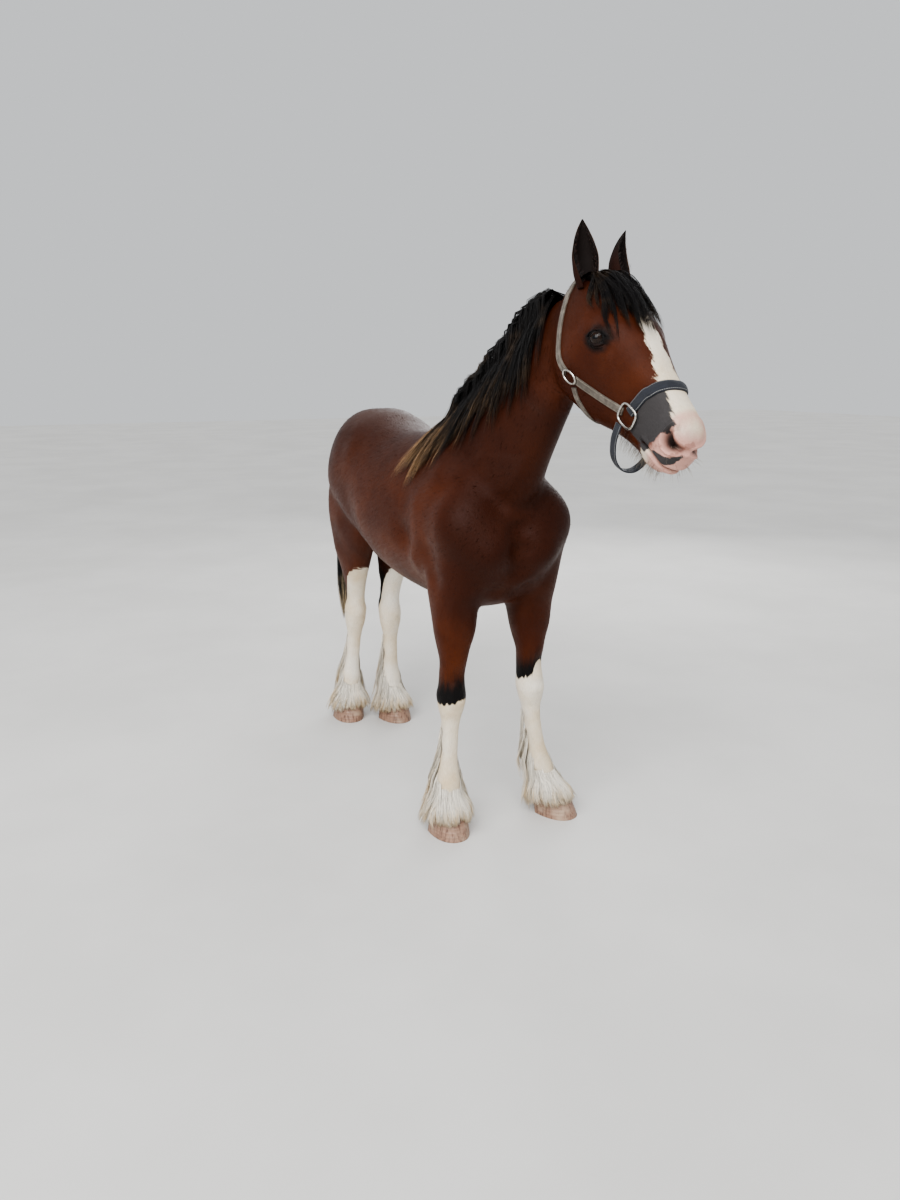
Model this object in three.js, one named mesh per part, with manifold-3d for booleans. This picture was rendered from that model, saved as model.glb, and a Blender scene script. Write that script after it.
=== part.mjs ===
// A life-size young Clydesdale gelding, standing square with its head up, wearing a leather headcollar.
// Units are millimetres, +Z is up, the horse faces -Y and its left side is +X.
// The flesh is lofted from tables of named outlines, joined, and parted with thin cuts into its nodes.
// Forelock, tail and leg feather are flat tapered locks, fused to the node that they grow from.
// The mane is one smooth sheet of hair, fused to the neck.
import * as THREE from 'three';
import { mergeVertices } from 'three/addons/utils/BufferGeometryUtils.js';
import Module from 'manifold-3d';

const wasm = await Module();
wasm.setup();

// Driving dimensions
const GAP = 0.35; // air between nodes that touch
const BOX_CENTRE = [65, -295]; // the middle of the model's box on the floor, before it is moved to the origin
const POLL = [130, -1020, 1948]; // top of the head, between the ears
const HEAD_YAW = THREE.MathUtils.degToRad(-0.5); // the head points a little to the horse's right
const HEAD_PITCH = THREE.MathUtils.degToRad(35.5); // face line below the horizontal
const HEAD_ROLL = THREE.MathUtils.degToRad(-8);
const EYE = { s: 226, x: 104, t: -44, radius: 25 };
const EAR = { base: [60, 20, -8], tip: [74, -112, 139], width: 36, wall: 6 };
const HOOF_TOP = 88;

const COLOURS = {
  bay: 0x4a1c0e,
  black: 0x15100e,
  white: 0xd9d2c4,
  hoof: 0xa5826c,
  eye: 0x0b0908,
  strap: 0x4a443d,
  padding: 0x1d2430,
  metal: 0xb9b6ae,
};

// Small helpers
const V = (x, y, z) => new THREE.Vector3(x, y, z);
const mix = THREE.MathUtils.lerp;
const clamp = THREE.MathUtils.clamp;
const smooth = (t) => t * t * (3 - 2 * t);
const TURN = 2 * Math.PI;

function randomFrom(seed) {
  let state = seed;
  return () => {
    state = (state * 1664525 + 1013904223) >>> 0;
    return state / 4294967296;
  };
}

// A smooth curve through rows of [t, value, ...] that never overshoots them.
function table(rows) {
  const last = rows.length - 1;
  const secant = (i, c) => (rows[i + 1][c] - rows[i][c]) / (rows[i + 1][0] - rows[i][0]);
  const slope = (i, c) => {
    if (i === 0) return secant(0, c);
    if (i === last) return secant(last - 1, c);
    const a = secant(i - 1, c);
    const b = secant(i, c);
    return a * b <= 0 ? 0 : (2 * a * b) / (a + b);
  };
  return (t) => {
    let i = 0;
    while (i < last - 1 && t > rows[i + 1][0]) i += 1;
    const span = rows[i + 1][0] - rows[i][0];
    const u = clamp((t - rows[i][0]) / span, 0, 1);
    return rows[i].slice(1).map((value, k) => {
      const c = k + 1;
      const rise = smooth(u);
      const bend = u * (1 - u) * span * (slope(i, c) * (1 - u) - slope(i + 1, c) * u);
      return mix(value, rows[i + 1][c], rise) + bend;
    });
  };
}

// A point of an oval whose upper and lower halves have their own height and squareness.
function oval(angle, half, up, down, upperPower, lowerPower) {
  const c = Math.cos(angle);
  const s = Math.sin(angle);
  const power = 2 / (s > 0 ? upperPower : lowerPower);
  return [
    half * Math.sign(c) * Math.abs(c) ** power,
    (s > 0 ? up : down) * Math.sign(s) * Math.abs(s) ** power,
  ];
}

// Solids
// Turns a closed surface's faces to point out of it.
function facingOut(geometry) {
  const { array } = geometry.attributes.position;
  const faces = geometry.index.array;
  let volume = 0;
  for (let i = 0; i < faces.length; i += 3) {
    const [a, b, c] = [0, 1, 2].map((k) => V().fromArray(array, 3 * faces[i + k]));
    volume += a.dot(b.cross(c));
  }
  if (volume < 0) {
    for (let i = 0; i < faces.length; i += 3) {
      [faces[i + 1], faces[i + 2]] = [faces[i + 2], faces[i + 1]];
    }
  }
  return geometry;
}

function toSolid(geometry) {
  const bare = geometry.clone();
  bare.deleteAttribute('normal');
  bare.deleteAttribute('uv');
  const merged = facingOut(mergeVertices(bare, 1e-3));
  return new wasm.Manifold(new wasm.Mesh({
    numProp: 3,
    vertProperties: merged.attributes.position.array,
    triVerts: new Uint32Array(merged.index.array),
  }));
}

const join = (solids) => solids.reduce((whole, next) => whole.add(next));

// Each tool is taken away by itself, and each step is worked out before the next.
function cut(whole, tools) {
  return tools.reduce((left, tool) => {
    const less = left.subtract(tool);
    less.boundingBox();
    return less;
  }, whole);
}

const largest = (solid) => solid.simplify(0.05).decompose().sort((a, b) => b.volume() - a.volume())[0];

function middleOf(solid) {
  const { min, max } = solid.boundingBox();
  return V(...min.map((low, i) => (low + max[i]) / 2));
}

// The piece of a parted solid whose middle is nearest to a point.
function pieceNear(pieces, point) {
  const away = (piece) => middleOf(piece).distanceTo(point);
  return pieces.reduce((best, piece) => (away(piece) < away(best) ? piece : best));
}

// Rings of points, joined to one closed surface with a fan at each end.
function loft(rings) {
  const sides = rings[0].length;
  const points = rings.flat();
  const index = [];
  for (let r = 0; r < rings.length - 1; r += 1) {
    for (let i = 0; i < sides; i += 1) {
      const a = r * sides + i;
      const b = r * sides + ((i + 1) % sides);
      index.push(a, b, a + sides, b, b + sides, a + sides);
    }
  }
  [0, rings.length - 1].forEach((r, end) => {
    const centre = points.push(
      rings[r].reduce((sum, p) => sum.add(p), V(0, 0, 0)).divideScalar(sides),
    ) - 1;
    for (let i = 0; i < sides; i += 1) {
      const a = r * sides + i;
      const b = r * sides + ((i + 1) % sides);
      index.push(...(end ? [a, b, centre] : [b, a, centre]));
    }
  });
  const geometry = new THREE.BufferGeometry().setFromPoints(points);
  geometry.setIndex(index);
  return facingOut(geometry);
}

// How far muscles and bones push a point of the surface out, or in: [x, y, z, radius, height].
function riseAt(point, bumps) {
  return bumps.reduce((sum, [x, y, z, radius, height]) => {
    const away = point.distanceToSquared(V(x, y, z)) / (radius * radius);
    return away > 9 ? sum : sum + height * Math.exp(-away);
  }, 0);
}

function sculpt(geometry, bumps) {
  geometry.computeVertexNormals();
  const { position, normal } = geometry.attributes;
  for (let i = 0; i < position.count; i += 1) {
    const p = V().fromBufferAttribute(position, i);
    p.addScaledVector(V().fromBufferAttribute(normal, i), riseAt(p, bumps));
    position.setXYZ(i, p.x, p.y, p.z);
  }
  return geometry;
}

const bothSides = (rows) => rows.flatMap(([x, ...rest]) => [[x, ...rest], [-x, ...rest]]);

// Torso: sections across the body, [y, top, widest, bottom, half width, upper power, lower power].
const TORSO_SIDES = 22;
const TORSO = table([
  [-800, 1215, 1135, 1050, 60, 2.0, 2.0],
  [-775, 1290, 1145, 985, 135, 2.0, 2.0],
  [-730, 1360, 1155, 935, 198, 2.0, 2.1],
  [-650, 1450, 1165, 892, 232, 2.0, 2.2],
  [-550, 1530, 1175, 864, 238, 1.8, 2.2],
  [-440, 1556, 1180, 848, 240, 1.6, 2.1],
  [-300, 1522, 1175, 845, 246, 1.7, 2.1],
  [-120, 1478, 1160, 852, 257, 2.0, 2.1],
  [50, 1470, 1165, 874, 262, 2.1, 2.1],
  [200, 1494, 1190, 912, 256, 2.2, 2.1],
  [340, 1536, 1225, 966, 248, 2.2, 2.1],
  [450, 1552, 1240, 1016, 240, 2.2, 2.1],
  [560, 1532, 1235, 1045, 220, 2.2, 2.1],
  [660, 1482, 1225, 1070, 182, 2.1, 2.1],
  [730, 1405, 1215, 1100, 145, 2.0, 2.0],
  [765, 1330, 1215, 1150, 75, 2.0, 2.0],
]);
const TORSO_ENDS = [-800, 765];

function torsoPoint(y, angle, out = 0) {
  const [top, widest, bottom, half, upper, lower] = TORSO(y);
  const [x, z] = oval(
    angle, half + out, top - widest + out, widest - bottom + out, upper, lower,
  );
  return V(x, y, widest + z);
}

const MUSCLES = bothSides([
  [200, -500, 1110, 110, 18], // triceps
  [205, -520, 1330, 120, 8], // shoulder blade
  [92, -775, 1120, 75, 26], // breast
  [195, 370, 1070, 110, 8], // stifle
  [170, 430, 1430, 130, 8], // croup
  [165, 620, 1250, 120, 8], // buttock
  [215, 270, 1400, 60, 8], // point of hip
  [238, 235, 1130, 90, -14], // flank hollow
  [150, -400, 1500, 80, -10], // behind the withers
  [240, -375, 1110, 60, -12], // behind the elbow
]).concat([
  [-185, -705, 1205, 105, 38], // shoulder points, the left one pushed out by its leg
  [194, -712, 1200, 110, 44],
  [0, -800, 1080, 40, -14], // groove of the breast
  [0, 480, 1556, 70, -10], // groove of the croup
  [0, 765, 1180, 70, -12],
]);

// Neck: sections square to its spine, [share of the length, half height, half width, upper power].
const NECK_SIDES = 26;
const NECK = table([
  [0, 250, 185, 2.0],
  [0.25, 250, 152, 1.8],
  [0.5, 214, 114, 1.6],
  [0.72, 174, 92, 1.6],
  [0.9, 136, 82, 1.8],
  [1, 118, 78, 2.0],
]);
const NECK_SPINE = new THREE.CatmullRomCurve3([
  V(0, -430, 1225), V(6, -592, 1402), V(38, -728, 1578), V(80, -842, 1732), V(114, -952, 1846),
]);

function neckFrame(u) {
  const centre = NECK_SPINE.getPointAt(clamp(u, 0, 1));
  const along = NECK_SPINE.getTangentAt(clamp(u, 0, 1));
  const yaw = HEAD_YAW * u;
  const side = V(Math.cos(yaw), Math.sin(yaw), 0);
  side.addScaledVector(along, -side.dot(along)).normalize();
  return { centre, along, side, crest: along.clone().cross(side) };
}

function neckPoint(u, angle, out = 0) {
  const { centre, side, crest } = neckFrame(u);
  const [tall, half, upper] = NECK(u);
  const [x, z] = oval(angle, half + out, tall + out, tall + out, upper, 2.1);
  return centre.addScaledVector(side, x).addScaledVector(crest, z);
}

// Head: sections along the face, [s, top, widest, bottom, half width, upper power, lower power].
const HEAD_SIDES = 20;
const HEAD = table([
  [-75, 2, -60, -120, 46, 2.0, 2.0],
  [-35, 26, -72, -190, 78, 2.1, 2.2],
  [25, 44, -82, -246, 98, 2.2, 2.5],
  [90, 54, -84, -284, 107, 2.3, 2.6],
  [165, 56, -72, -298, 113, 2.4, 2.4],
  [235, 50, -60, -294, 109, 2.4, 2.2],
  [305, 34, -62, -276, 93, 2.4, 2.1],
  [385, 15, -68, -246, 76, 2.3, 2.1],
  [455, 0, -76, -226, 66, 2.3, 2.2],
  [520, -10, -86, -214, 62, 2.3, 2.3],
  [572, -18, -94, -208, 65, 2.3, 2.4],
  [612, -32, -102, -198, 62, 2.2, 2.3],
  [640, -58, -112, -182, 48, 2.0, 2.0],
  [652, -88, -122, -158, 24, 2.0, 2.0],
]);
const HEAD_ENDS = [-75, 652];
const MOUTH = { corner: 528, t: -163, height: 4, depth: 9 };

const FACE = bothSides([
  [104, 222, -22, 36, 11], // brow
  [84, 150, 0, 38, -9], // hollow over the eye
  [84, 155, -190, 80, 11], // cheek
  [84, 325, -104, 46, 6], // facial crest
  [62, 460, -112, 60, -6], // hollow before it
  [56, 600, -92, 34, 9], // nostril rim
  [62, 210, -300, 50, 8], // lower jaw
]).concat([
  [0, 566, -208, 36, 9], // chin
  [0, 200, -292, 52, -24], // groove between the jaws
  [0, 644, -116, 30, 5], // upper lip
]);

const HEAD_SIDE = V();
const HEAD_ALONG = V();
const HEAD_UP = V();
{
  const facing = V(Math.sin(HEAD_YAW), -Math.cos(HEAD_YAW), 0);
  const level = V(Math.cos(HEAD_YAW), Math.sin(HEAD_YAW), 0);
  HEAD_ALONG.copy(facing).multiplyScalar(Math.cos(HEAD_PITCH));
  HEAD_ALONG.z = -Math.sin(HEAD_PITCH);
  const lift = HEAD_ALONG.clone().cross(level);
  HEAD_SIDE.copy(level).multiplyScalar(Math.cos(HEAD_ROLL)).addScaledVector(lift, Math.sin(HEAD_ROLL));
  HEAD_UP.copy(HEAD_ALONG).cross(HEAD_SIDE);
}
const HEAD_FRAME = new THREE.Matrix4()
  .makeBasis(HEAD_SIDE, HEAD_ALONG, HEAD_UP)
  .setPosition(...POLL);

// From the head's own frame, x across, s along the face and t square to it, to the part's frame.
const fromHead = (x, s, t) => V(x, s, t).applyMatrix4(HEAD_FRAME);

function headLocal(s, angle, out = 0) {
  const [top, widest, bottom, half, upper, lower] = HEAD(s);
  const [x, t] = oval(
    angle, half + out, top - widest + out, widest - bottom + out, upper, lower,
  );
  return V(x, s, widest + t);
}

// Legs: level sections, [height, forward, backward, half width] about an axis through the cannon.
const LEG_SIDES = 12;
const FORELEG = table([
  [60, 97, 8, 58], [100, 92, 10, 56], [130, 70, 22, 45], [165, 51, 38, 42], [205, 43, 54, 46],
  [245, 35, 52, 39], [310, 30, 44, 32], [400, 31, 43, 32], [465, 37, 45, 38], [500, 49, 48, 48],
  [545, 57, 49, 54], [585, 53, 49, 51], [630, 48, 53, 48], [710, 58, 64, 55], [800, 74, 86, 69],
  [880, 92, 114, 81], [960, 120, 135, 86], [1050, 148, 142, 84], [1140, 150, 130, 66],
]);
const HINDLEG = table([
  [60, 97, 10, 56], [100, 90, 12, 54], [135, 68, 24, 44], [170, 52, 40, 42], [215, 44, 56, 46],
  [255, 36, 53, 39], [330, 32, 46, 34], [420, 34, 46, 35], [470, 44, 52, 41], [520, 56, 62, 51],
  [565, 61, 78, 51], [600, 58, 92, 45], [630, 58, 88, 43], [690, 72, 80, 47], [760, 104, 84, 57],
  [840, 158, 94, 69], [920, 220, 110, 79], [990, 258, 124, 86], [1060, 282, 136, 89],
  [1150, 296, 140, 84], [1250, 270, 130, 62],
]);
const LEGS = [
  { name: 'foreleg_right', foot: [-156, -548], joint: [-156, -590], top: [-146, -595], turn: 3 },
  { name: 'foreleg_left', foot: [288, -581], joint: [176, -588], top: [158, -600], turn: 14 },
  { name: 'hindleg_right', foot: [-104, 743], joint: [-70, 672], top: [-114, 606], turn: 6 },
  { name: 'hindleg_left', foot: [96, 629], joint: [80, 596], top: [126, 612], turn: 8 },
];
const LEG_STEPS = {
  foreleg: [60, 100, 130, 165, 205, 245, 300, 360, 430, 465, 500, 545, 585, 630, 710, 800, 880, 960, 1050, 1140],
  hindleg: [60, 100, 135, 170, 215, 255, 320, 400, 465, 515, 560, 600, 632, 690, 760, 840, 920, 990, 1060, 1150, 1250],
};
const KNEE_CUT = 640;
const HOCK_CUT = 655;

const JOINT_HEIGHT = { foreleg: 545, hindleg: 590 };
const TOP_HEIGHT = { foreleg: 900, hindleg: 1100 };
LEGS.forEach((leg) => {
  const kind = leg.name.split('_')[0];
  const rise = [TOP_HEIGHT[kind] + 200, ...leg.top];
  leg.kind = kind;
  leg.shape = kind === 'foreleg' ? FORELEG : HINDLEG;
  leg.axis = table([[0, ...leg.foot], [JOINT_HEIGHT[kind], ...leg.joint], [TOP_HEIGHT[kind], ...leg.top], rise]);
});

// The leg's axis leans from the foot to the knee or hock and on to the elbow or hip.
const legAxis = (leg, z) => V(...leg.axis(z), z);

function legTurn(leg, z) {
  const outward = Math.sign(leg.foot[0]);
  return THREE.MathUtils.degToRad(leg.turn) * outward * clamp((900 - z) / 500, 0, 1);
}

// Angle 0 is the leg's left, a quarter turn is its back and three quarters its front.
function legPoint(leg, z, angle, out = 0) {
  const [forward, backward, half] = leg.shape(z);
  const [x, y] = oval(angle, half + out, backward + out, forward + out, 2.2, 2.2);
  return V(x, y, 0).applyAxisAngle(V(0, 0, 1), legTurn(leg, z)).add(legAxis(leg, z));
}

// Hooves: level sections like the legs', cut off level with the floor and sloped at the coronet.
const HOOF_SIDES = 14;
const HOOF = table([
  [0, 128, 36, 77], [30, 119, 34, 74], [70, 104, 24, 66], [110, 90, 14, 58], [130, 83, 10, 53],
]);
const HOOF_STEPS = [0, 22, 50, 80, 125];

function hoofPoint(leg, z, angle, out = 0) {
  const [forward, backward, half] = HOOF(z);
  const [x, y] = oval(angle, half + out, backward + out, forward + out, 2.1, 2.2);
  return V(x, y, 0).applyAxisAngle(V(0, 0, 1), legTurn(leg, z)).add(legAxis(leg, z));
}

// Flesh
const ringOf = (sides, point) => Array.from({ length: sides }, (_, i) => point((TURN * i) / sides));
const steps = (from, to, count) => Array.from({ length: count + 1 }, (_, i) => mix(from, to, i / count));

function torsoFlesh(out) {
  const rings = steps(...TORSO_ENDS, 20).map(
    (y) => ringOf(TORSO_SIDES, (angle) => torsoPoint(y, angle, out)),
  );
  return toSolid(sculpt(loft(rings), MUSCLES));
}

function neckFlesh(out) {
  const rings = steps(0, 1, 11).map((u) => ringOf(NECK_SIDES, (angle) => neckPoint(u, angle, out)));
  return toSolid(loft(rings));
}

function headFlesh(out) {
  const rings = steps(...HEAD_ENDS, 22).map(
    (s) => ringOf(HEAD_SIDES, (angle) => headLocal(s, angle, out)),
  );
  return toSolid(sculpt(loft(rings), FACE).applyMatrix4(HEAD_FRAME));
}

function legFlesh(leg, out) {
  const rings = LEG_STEPS[leg.kind].map((z) => ringOf(LEG_SIDES, (angle) => legPoint(leg, z, angle, out)));
  return toSolid(loft(rings));
}

// A thin or thick plate, square to a normal, for parting and trimming.
function plate(centre, normal, [wide, deep, thick], across = V(1, 0, 0)) {
  const n = normal.clone().normalize();
  const x = across.clone().addScaledVector(n, -across.dot(n)).normalize();
  const y = n.clone().cross(x);
  const frame = new THREE.Matrix4().makeBasis(x, y, n).setPosition(centre);
  return toSolid(new THREE.BoxGeometry(wide, deep, thick).applyMatrix4(frame));
}

const NECK_BASE = 0.3; // share of the neck's length where it is parted from the torso

function neckPlate(size, thick) {
  const { centre, along, side } = neckFrame(NECK_BASE);
  return plate(centre, along, [size, size, thick], side);
}

function limbPlates(leg) {
  const outward = Math.sign(leg.foot[0]);
  const fore = leg.kind === 'foreleg';
  const elbow = plate(
    V(outward * 155, fore ? -600 : 585, fore ? 890 : 955),
    V(-outward * 0.32, 0, 1), [fore ? 236 : 306, fore ? 330 : 480, GAP],
  );
  const kneeAt = legAxis(leg, fore ? KNEE_CUT : HOCK_CUT);
  return [elbow, plate(kneeAt, V(0, 0, 1), [160, 280, GAP])];
}

// The hoof's coronet slopes down from toe to heel.
function coronetPlate(leg, thick, lift) {
  const turn = legTurn(leg, 0);
  const ahead = V(0, -40, HOOF_TOP + lift).applyAxisAngle(V(0, 0, 1), turn).add(legAxis(leg, 0));
  const normal = V(0, 0.36, 1).normalize().applyAxisAngle(V(0, 0, 1), turn);
  ahead.addScaledVector(normal, -thick / 2);
  return plate(ahead, normal, [320, 400, thick]);
}

const body = join([torsoFlesh(0), neckFlesh(0), ...LEGS.map((leg) => legFlesh(leg, 0))]);
const parted = cut(body, [neckPlate(760, GAP), ...LEGS.flatMap(limbPlates)]).decompose();
const headSolid = headFlesh(0);
const torso = pieceNear(parted, V(0, 0, 1200));

function boxesMeet(a, b) {
  const [boxA, boxB] = [a, b].map((solid) => solid.boundingBox());
  return [0, 1, 2].every((i) => boxA.min[i] < boxB.max[i] + 2 && boxB.min[i] < boxA.max[i] + 2);
}

// The same surface with each corner pushed out along its normal.
function inflated(solid, air) {
  const { vertProperties, triVerts, numVert } = solid.getMesh();
  const geometry = new THREE.BufferGeometry()
    .setAttribute('position', new THREE.BufferAttribute(vertProperties, 3))
    .setIndex(new THREE.BufferAttribute(triVerts, 1));
  geometry.computeVertexNormals();
  const { position, normal } = geometry.attributes;
  for (let i = 0; i < numVert; i += 1) {
    const p = V().fromBufferAttribute(position, i);
    p.addScaledVector(V().fromBufferAttribute(normal, i), air);
    position.setXYZ(i, p.x, p.y, p.z);
  }
  return new wasm.Manifold(new wasm.Mesh({ numProp: 3, vertProperties: position.array, triVerts }));
}

// A solid cut clear of its neighbours, with a little air between.
function clearOf(solid, neighbours) {
  const near = neighbours.filter((tool) => boxesMeet(solid, tool));
  return cut(solid, near.flatMap((tool) => [inflated(tool, 1.7 * GAP), tool]));
}

const nodes = { torso };

// Hair lies on a surface's right side: a point inside an oval section moves out square to its height.
function besideOf(point, centre, side, upward, [half, up, down, upper, lower]) {
  const off = point.clone().sub(centre);
  const x = off.dot(side);
  const z = off.dot(upward);
  const power = z > 0 ? upper : lower;
  const level = Math.abs(z) / (z > 0 ? up : down);
  if (level >= 1) return point;
  const edge = -half * (1 - level ** power) ** (1 / power);
  return x < edge ? point : point.addScaledVector(side, edge - x);
}

function clearOfNeck(point, margin) {
  const stations = steps(0, 1, 60).map((u) => ({ u, ...neckFrame(u) }));
  const away = ({ centre, along }) => Math.abs(point.clone().sub(centre).dot(along));
  const near = stations.reduce((best, next) => (away(next) < away(best) ? next : best));
  if (away(near) > 25) return point;
  const [tall, half, upper] = NECK(near.u).map((value, i) => (i < 2 ? value + margin : value));
  return besideOf(point, near.centre, near.side, near.crest, [half, tall, tall, upper, 2.1]);
}

function clearOfTorso(point, margin) {
  if (point.y < TORSO_ENDS[0] || point.y > TORSO_ENDS[1]) return point;
  const [top, widest, bottom, half, upper, lower] = TORSO(point.y);
  const sizes = [half + margin, top - widest + margin, widest - bottom + margin, upper, lower];
  return besideOf(point, V(0, point.y, widest), V(1, 0, 0), V(0, 0, 1), sizes);
}
// Locks: flat tapered strands, wide across and thin outward, that end in a point.
const LOCK_SHAPE = table([[0, 0.8], [0.25, 1], [0.6, 0.8], [0.85, 0.42], [1, 0.03]]);

function lock(path, half, thick, outwardAt) {
  const last = path.length - 1;
  const rings = path.map((point, k) => {
    const along = path[Math.min(k + 1, last)].clone().sub(path[Math.max(k - 1, 0)]).normalize();
    const outward = outwardAt(point);
    outward.addScaledVector(along, -outward.dot(along)).normalize();
    const [share] = LOCK_SHAPE(k / last);
    const wide = along.clone().cross(outward).multiplyScalar(half * share);
    outward.multiplyScalar(thick * Math.sqrt(share));
    return [
      point.clone().add(wide), point.clone().add(outward),
      point.clone().sub(wide), point.clone().sub(outward),
    ];
  });
  return toSolid(loft(rings));
}

// Mane: a sheet of hair that falls from the crest down the right side of the neck, thin at both ends.
const MANE = { from: 0.32, to: 0.88, sunk: 18, depth: 26, parts: 5 };

function drape(u, margin) {
  const { side, crest } = neckFrame(u);
  const path = [neckPoint(u, 0.5 * Math.PI, -MANE.sunk)];
  const outward = side.clone().multiplyScalar(-0.9).addScaledVector(crest, 0.42);
  const share = (u - MANE.from) / (MANE.to - MANE.from);
  const step = mix(300, 235, share) / MANE.parts;
  for (let k = 0; k < MANE.parts; k += 1) {
    const fall = clamp(k / 2, 0, 1);
    const next = path[k].clone();
    next.addScaledVector(outward, step * (1 - fall)).addScaledVector(V(0, mix(0.42, 0.1, share), -1), step * fall);
    path.push(clearOfTorso(clearOfNeck(next, margin), margin));
  }
  return path;
}

function mane() {
  return toSolid(loft(steps(0, 1, 14).map((k) => {
    const u = mix(MANE.from, MANE.to, k);
    const depth = MANE.depth * Math.min(1, 3 * Math.sin(Math.PI * k));
    const [outer, inner] = [depth - 4, -12].map((margin) => drape(u, margin));
    return [...outer, ...inner.slice(1).reverse()];
  })));
}

// Forelock: locks from between the ears down the forehead, [x of root, x of tip, s of tip].
const FORELOCK = [
  [-30, -68, 160], [-14, -42, 222], [2, -12, 226], [16, 24, 186], [30, 54, 142],
];

function browPoint(x, s, out) {
  const [top, widest, , half, power] = HEAD(s);
  const share = clamp(Math.abs(x) / half, 0, 0.95);
  return fromHead(x, s, widest + (top - widest) * (1 - share ** power) ** (1 / power) + out);
}

function forelock() {
  return FORELOCK.map(([root, tip, reach], i) => {
    const path = steps(0, 1, 5).map((k) => {
      const s = mix(-12, reach, k);
      const lift = k === 0 ? -12 : 6 + 5 * (i % 2) + 8 * Math.sin(Math.PI * k);
      return browPoint(mix(root, tip, smooth(k)), s, lift);
    });
    return lock(path, 17, 6, () => HEAD_UP.clone());
  });
}

// Tail: its dock is a core of sections, [share of the length, half width, half depth], under locks.
const TAIL_PATH = new THREE.CatmullRomCurve3([
  V(0, 735, 1405), V(0, 800, 1392), V(0, 846, 1300), V(-4, 860, 1120), V(-14, 858, 880), V(-24, 850, 660), V(-30, 842, 470),
]);
const TAIL = table([[0, 34, 30], [0.12, 34, 30], [0.35, 44, 32], [0.6, 44, 30], [0.8, 26, 20], [0.94, 6, 5]]);
const TAIL_LOCKS = { count: 8, half: 38, thick: 9 };

function tubePoint(curve, u, angle, half, deep) {
  const along = curve.getTangentAt(u);
  const side = V(1, 0, 0).addScaledVector(along, -along.x).normalize();
  const outward = along.clone().cross(side);
  return curve.getPointAt(u)
    .addScaledVector(side, half * Math.cos(angle)).addScaledVector(outward, deep * Math.sin(angle));
}

function tail() {
  const random = randomFrom(5);
  const core = toSolid(loft(steps(0, 0.94, 10).map(
    (u) => ringOf(10, (angle) => tubePoint(TAIL_PATH, u, angle, ...TAIL(u))),
  )));
  const { count, half, thick } = TAIL_LOCKS;
  const strands = Array.from({ length: count }, (_, i) => {
    const angle = TURN * (i * 0.382);
    const from = mix(0.14, 0.55, i / count);
    const to = Math.min(1, from + mix(0.42, 0.6, random()));
    const spread = mix(8, 26, random());
    const path = steps(0, 1, 5).map((k) => {
      const u = mix(from, to, k);
      const [wide, deep] = TAIL(Math.min(u, 0.94));
      const out = k === 0 ? -10 : 5 + spread * Math.sin(0.8 * Math.PI * k);
      return tubePoint(TAIL_PATH, u, angle + 0.5 * k * (random() - 0.5), wide + out, deep + out);
    });
    const out = (point) => point.clone().sub(TAIL_PATH.getPointAt(mix(from, to, 0.5))).setZ(0).normalize();
    return lock(path, half * mix(0.75, 1.1, random()), thick, out);
  });
  return join([core, ...strands]);
}

// Feather: [angle in turns, top, bottom, reach beyond the hoof, half width], a quarter turn is the back.
const FEATHER = [
  [0.25, 430, 150, 60, 26],
  [0.25, 300, 14, 78, 40], [0.12, 250, 12, 66, 40], [0.38, 250, 14, 66, 40],
  [0, 225, 18, 42, 40], [0.5, 225, 18, 42, 40],
  [0.84, 205, 36, 30, 42], [0.66, 205, 36, 30, 42],
];

function feather(leg) {
  const random = randomFrom(7 + leg.turn);
  return FEATHER.map(([turn, from, to, reach, half]) => {
    const angle = TURN * (turn + 0.02 * (random() - 0.5));
    const path = steps(0, 1, 4).map((k) => {
      const z = mix(from, to, k);
      const out = k === 0 ? -9 : mix(4, reach, smooth(k)) * mix(0.85, 1.1, random());
      return z < 118 ? hoofPoint(leg, z, angle, out) : legPoint(leg, z, angle, out);
    });
    const outward = (point) => point.clone().sub(legAxis(leg, point.z)).add(V(0, 18, 0)).setZ(0).normalize();
    return lock(path, half, 8, outward);
  });
}

// Head: eye sockets, lids, nostrils and the line of the mouth
const PER_SIDE = [{ side: 1, name: 'left' }, { side: -1, name: 'right' }];
const ball = (radius, wide, high) => new THREE.SphereGeometry(radius, wide, high);

function eyeFrame(side) {
  const outward = V(side * 0.9, 0.36, 0.2).normalize();
  const up = V(0, -0.1, 1).addScaledVector(outward, -V(0, -0.1, 1).dot(outward)).normalize();
  const centre = V(side * EYE.x, EYE.s, EYE.t);
  return new THREE.Matrix4().makeBasis(outward, up.clone().cross(outward).negate(), up)
    .setPosition(centre).premultiply(HEAD_FRAME);
}

function lidRidge(side) {
  const ridge = new THREE.TorusGeometry(24, 6, 4, 12).rotateY(Math.PI / 2);
  ridge.scale(1, 1.12, 0.84).translate(9, 0, 0);
  return toSolid(ridge.applyMatrix4(eyeFrame(side)));
}

function nostril(side) {
  const hole = ball(1, 10, 6).scale(12, 27, 16).rotateX(-0.75).rotateZ(side * 0.45);
  return toSolid(hole.translate(side * 68, 610, -97).applyMatrix4(HEAD_FRAME));
}

function mouthLine() {
  const { corner, t, height, depth } = MOUTH;
  const slot = new THREE.BoxGeometry(220, 240, height);
  slot.translate(0, corner + 120, t).applyMatrix4(HEAD_FRAME);
  return cut(toSolid(slot), [headFlesh(-depth)]);
}

const eyeball = (side, radius) => toSolid(ball(radius, 14, 8).applyMatrix4(eyeFrame(side)));
const eyes = PER_SIDE.map(({ side }) => eyeball(side, EYE.radius));
const sockets = PER_SIDE.map(({ side }) => eyeball(side, EYE.radius + 2 * GAP));
const head = cut(join([headSolid, ...PER_SIDE.map(({ side }) => lidRidge(side))]), [
  ...sockets, ...PER_SIDE.map(({ side }) => nostril(side)), mouthLine(),
]);

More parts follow.
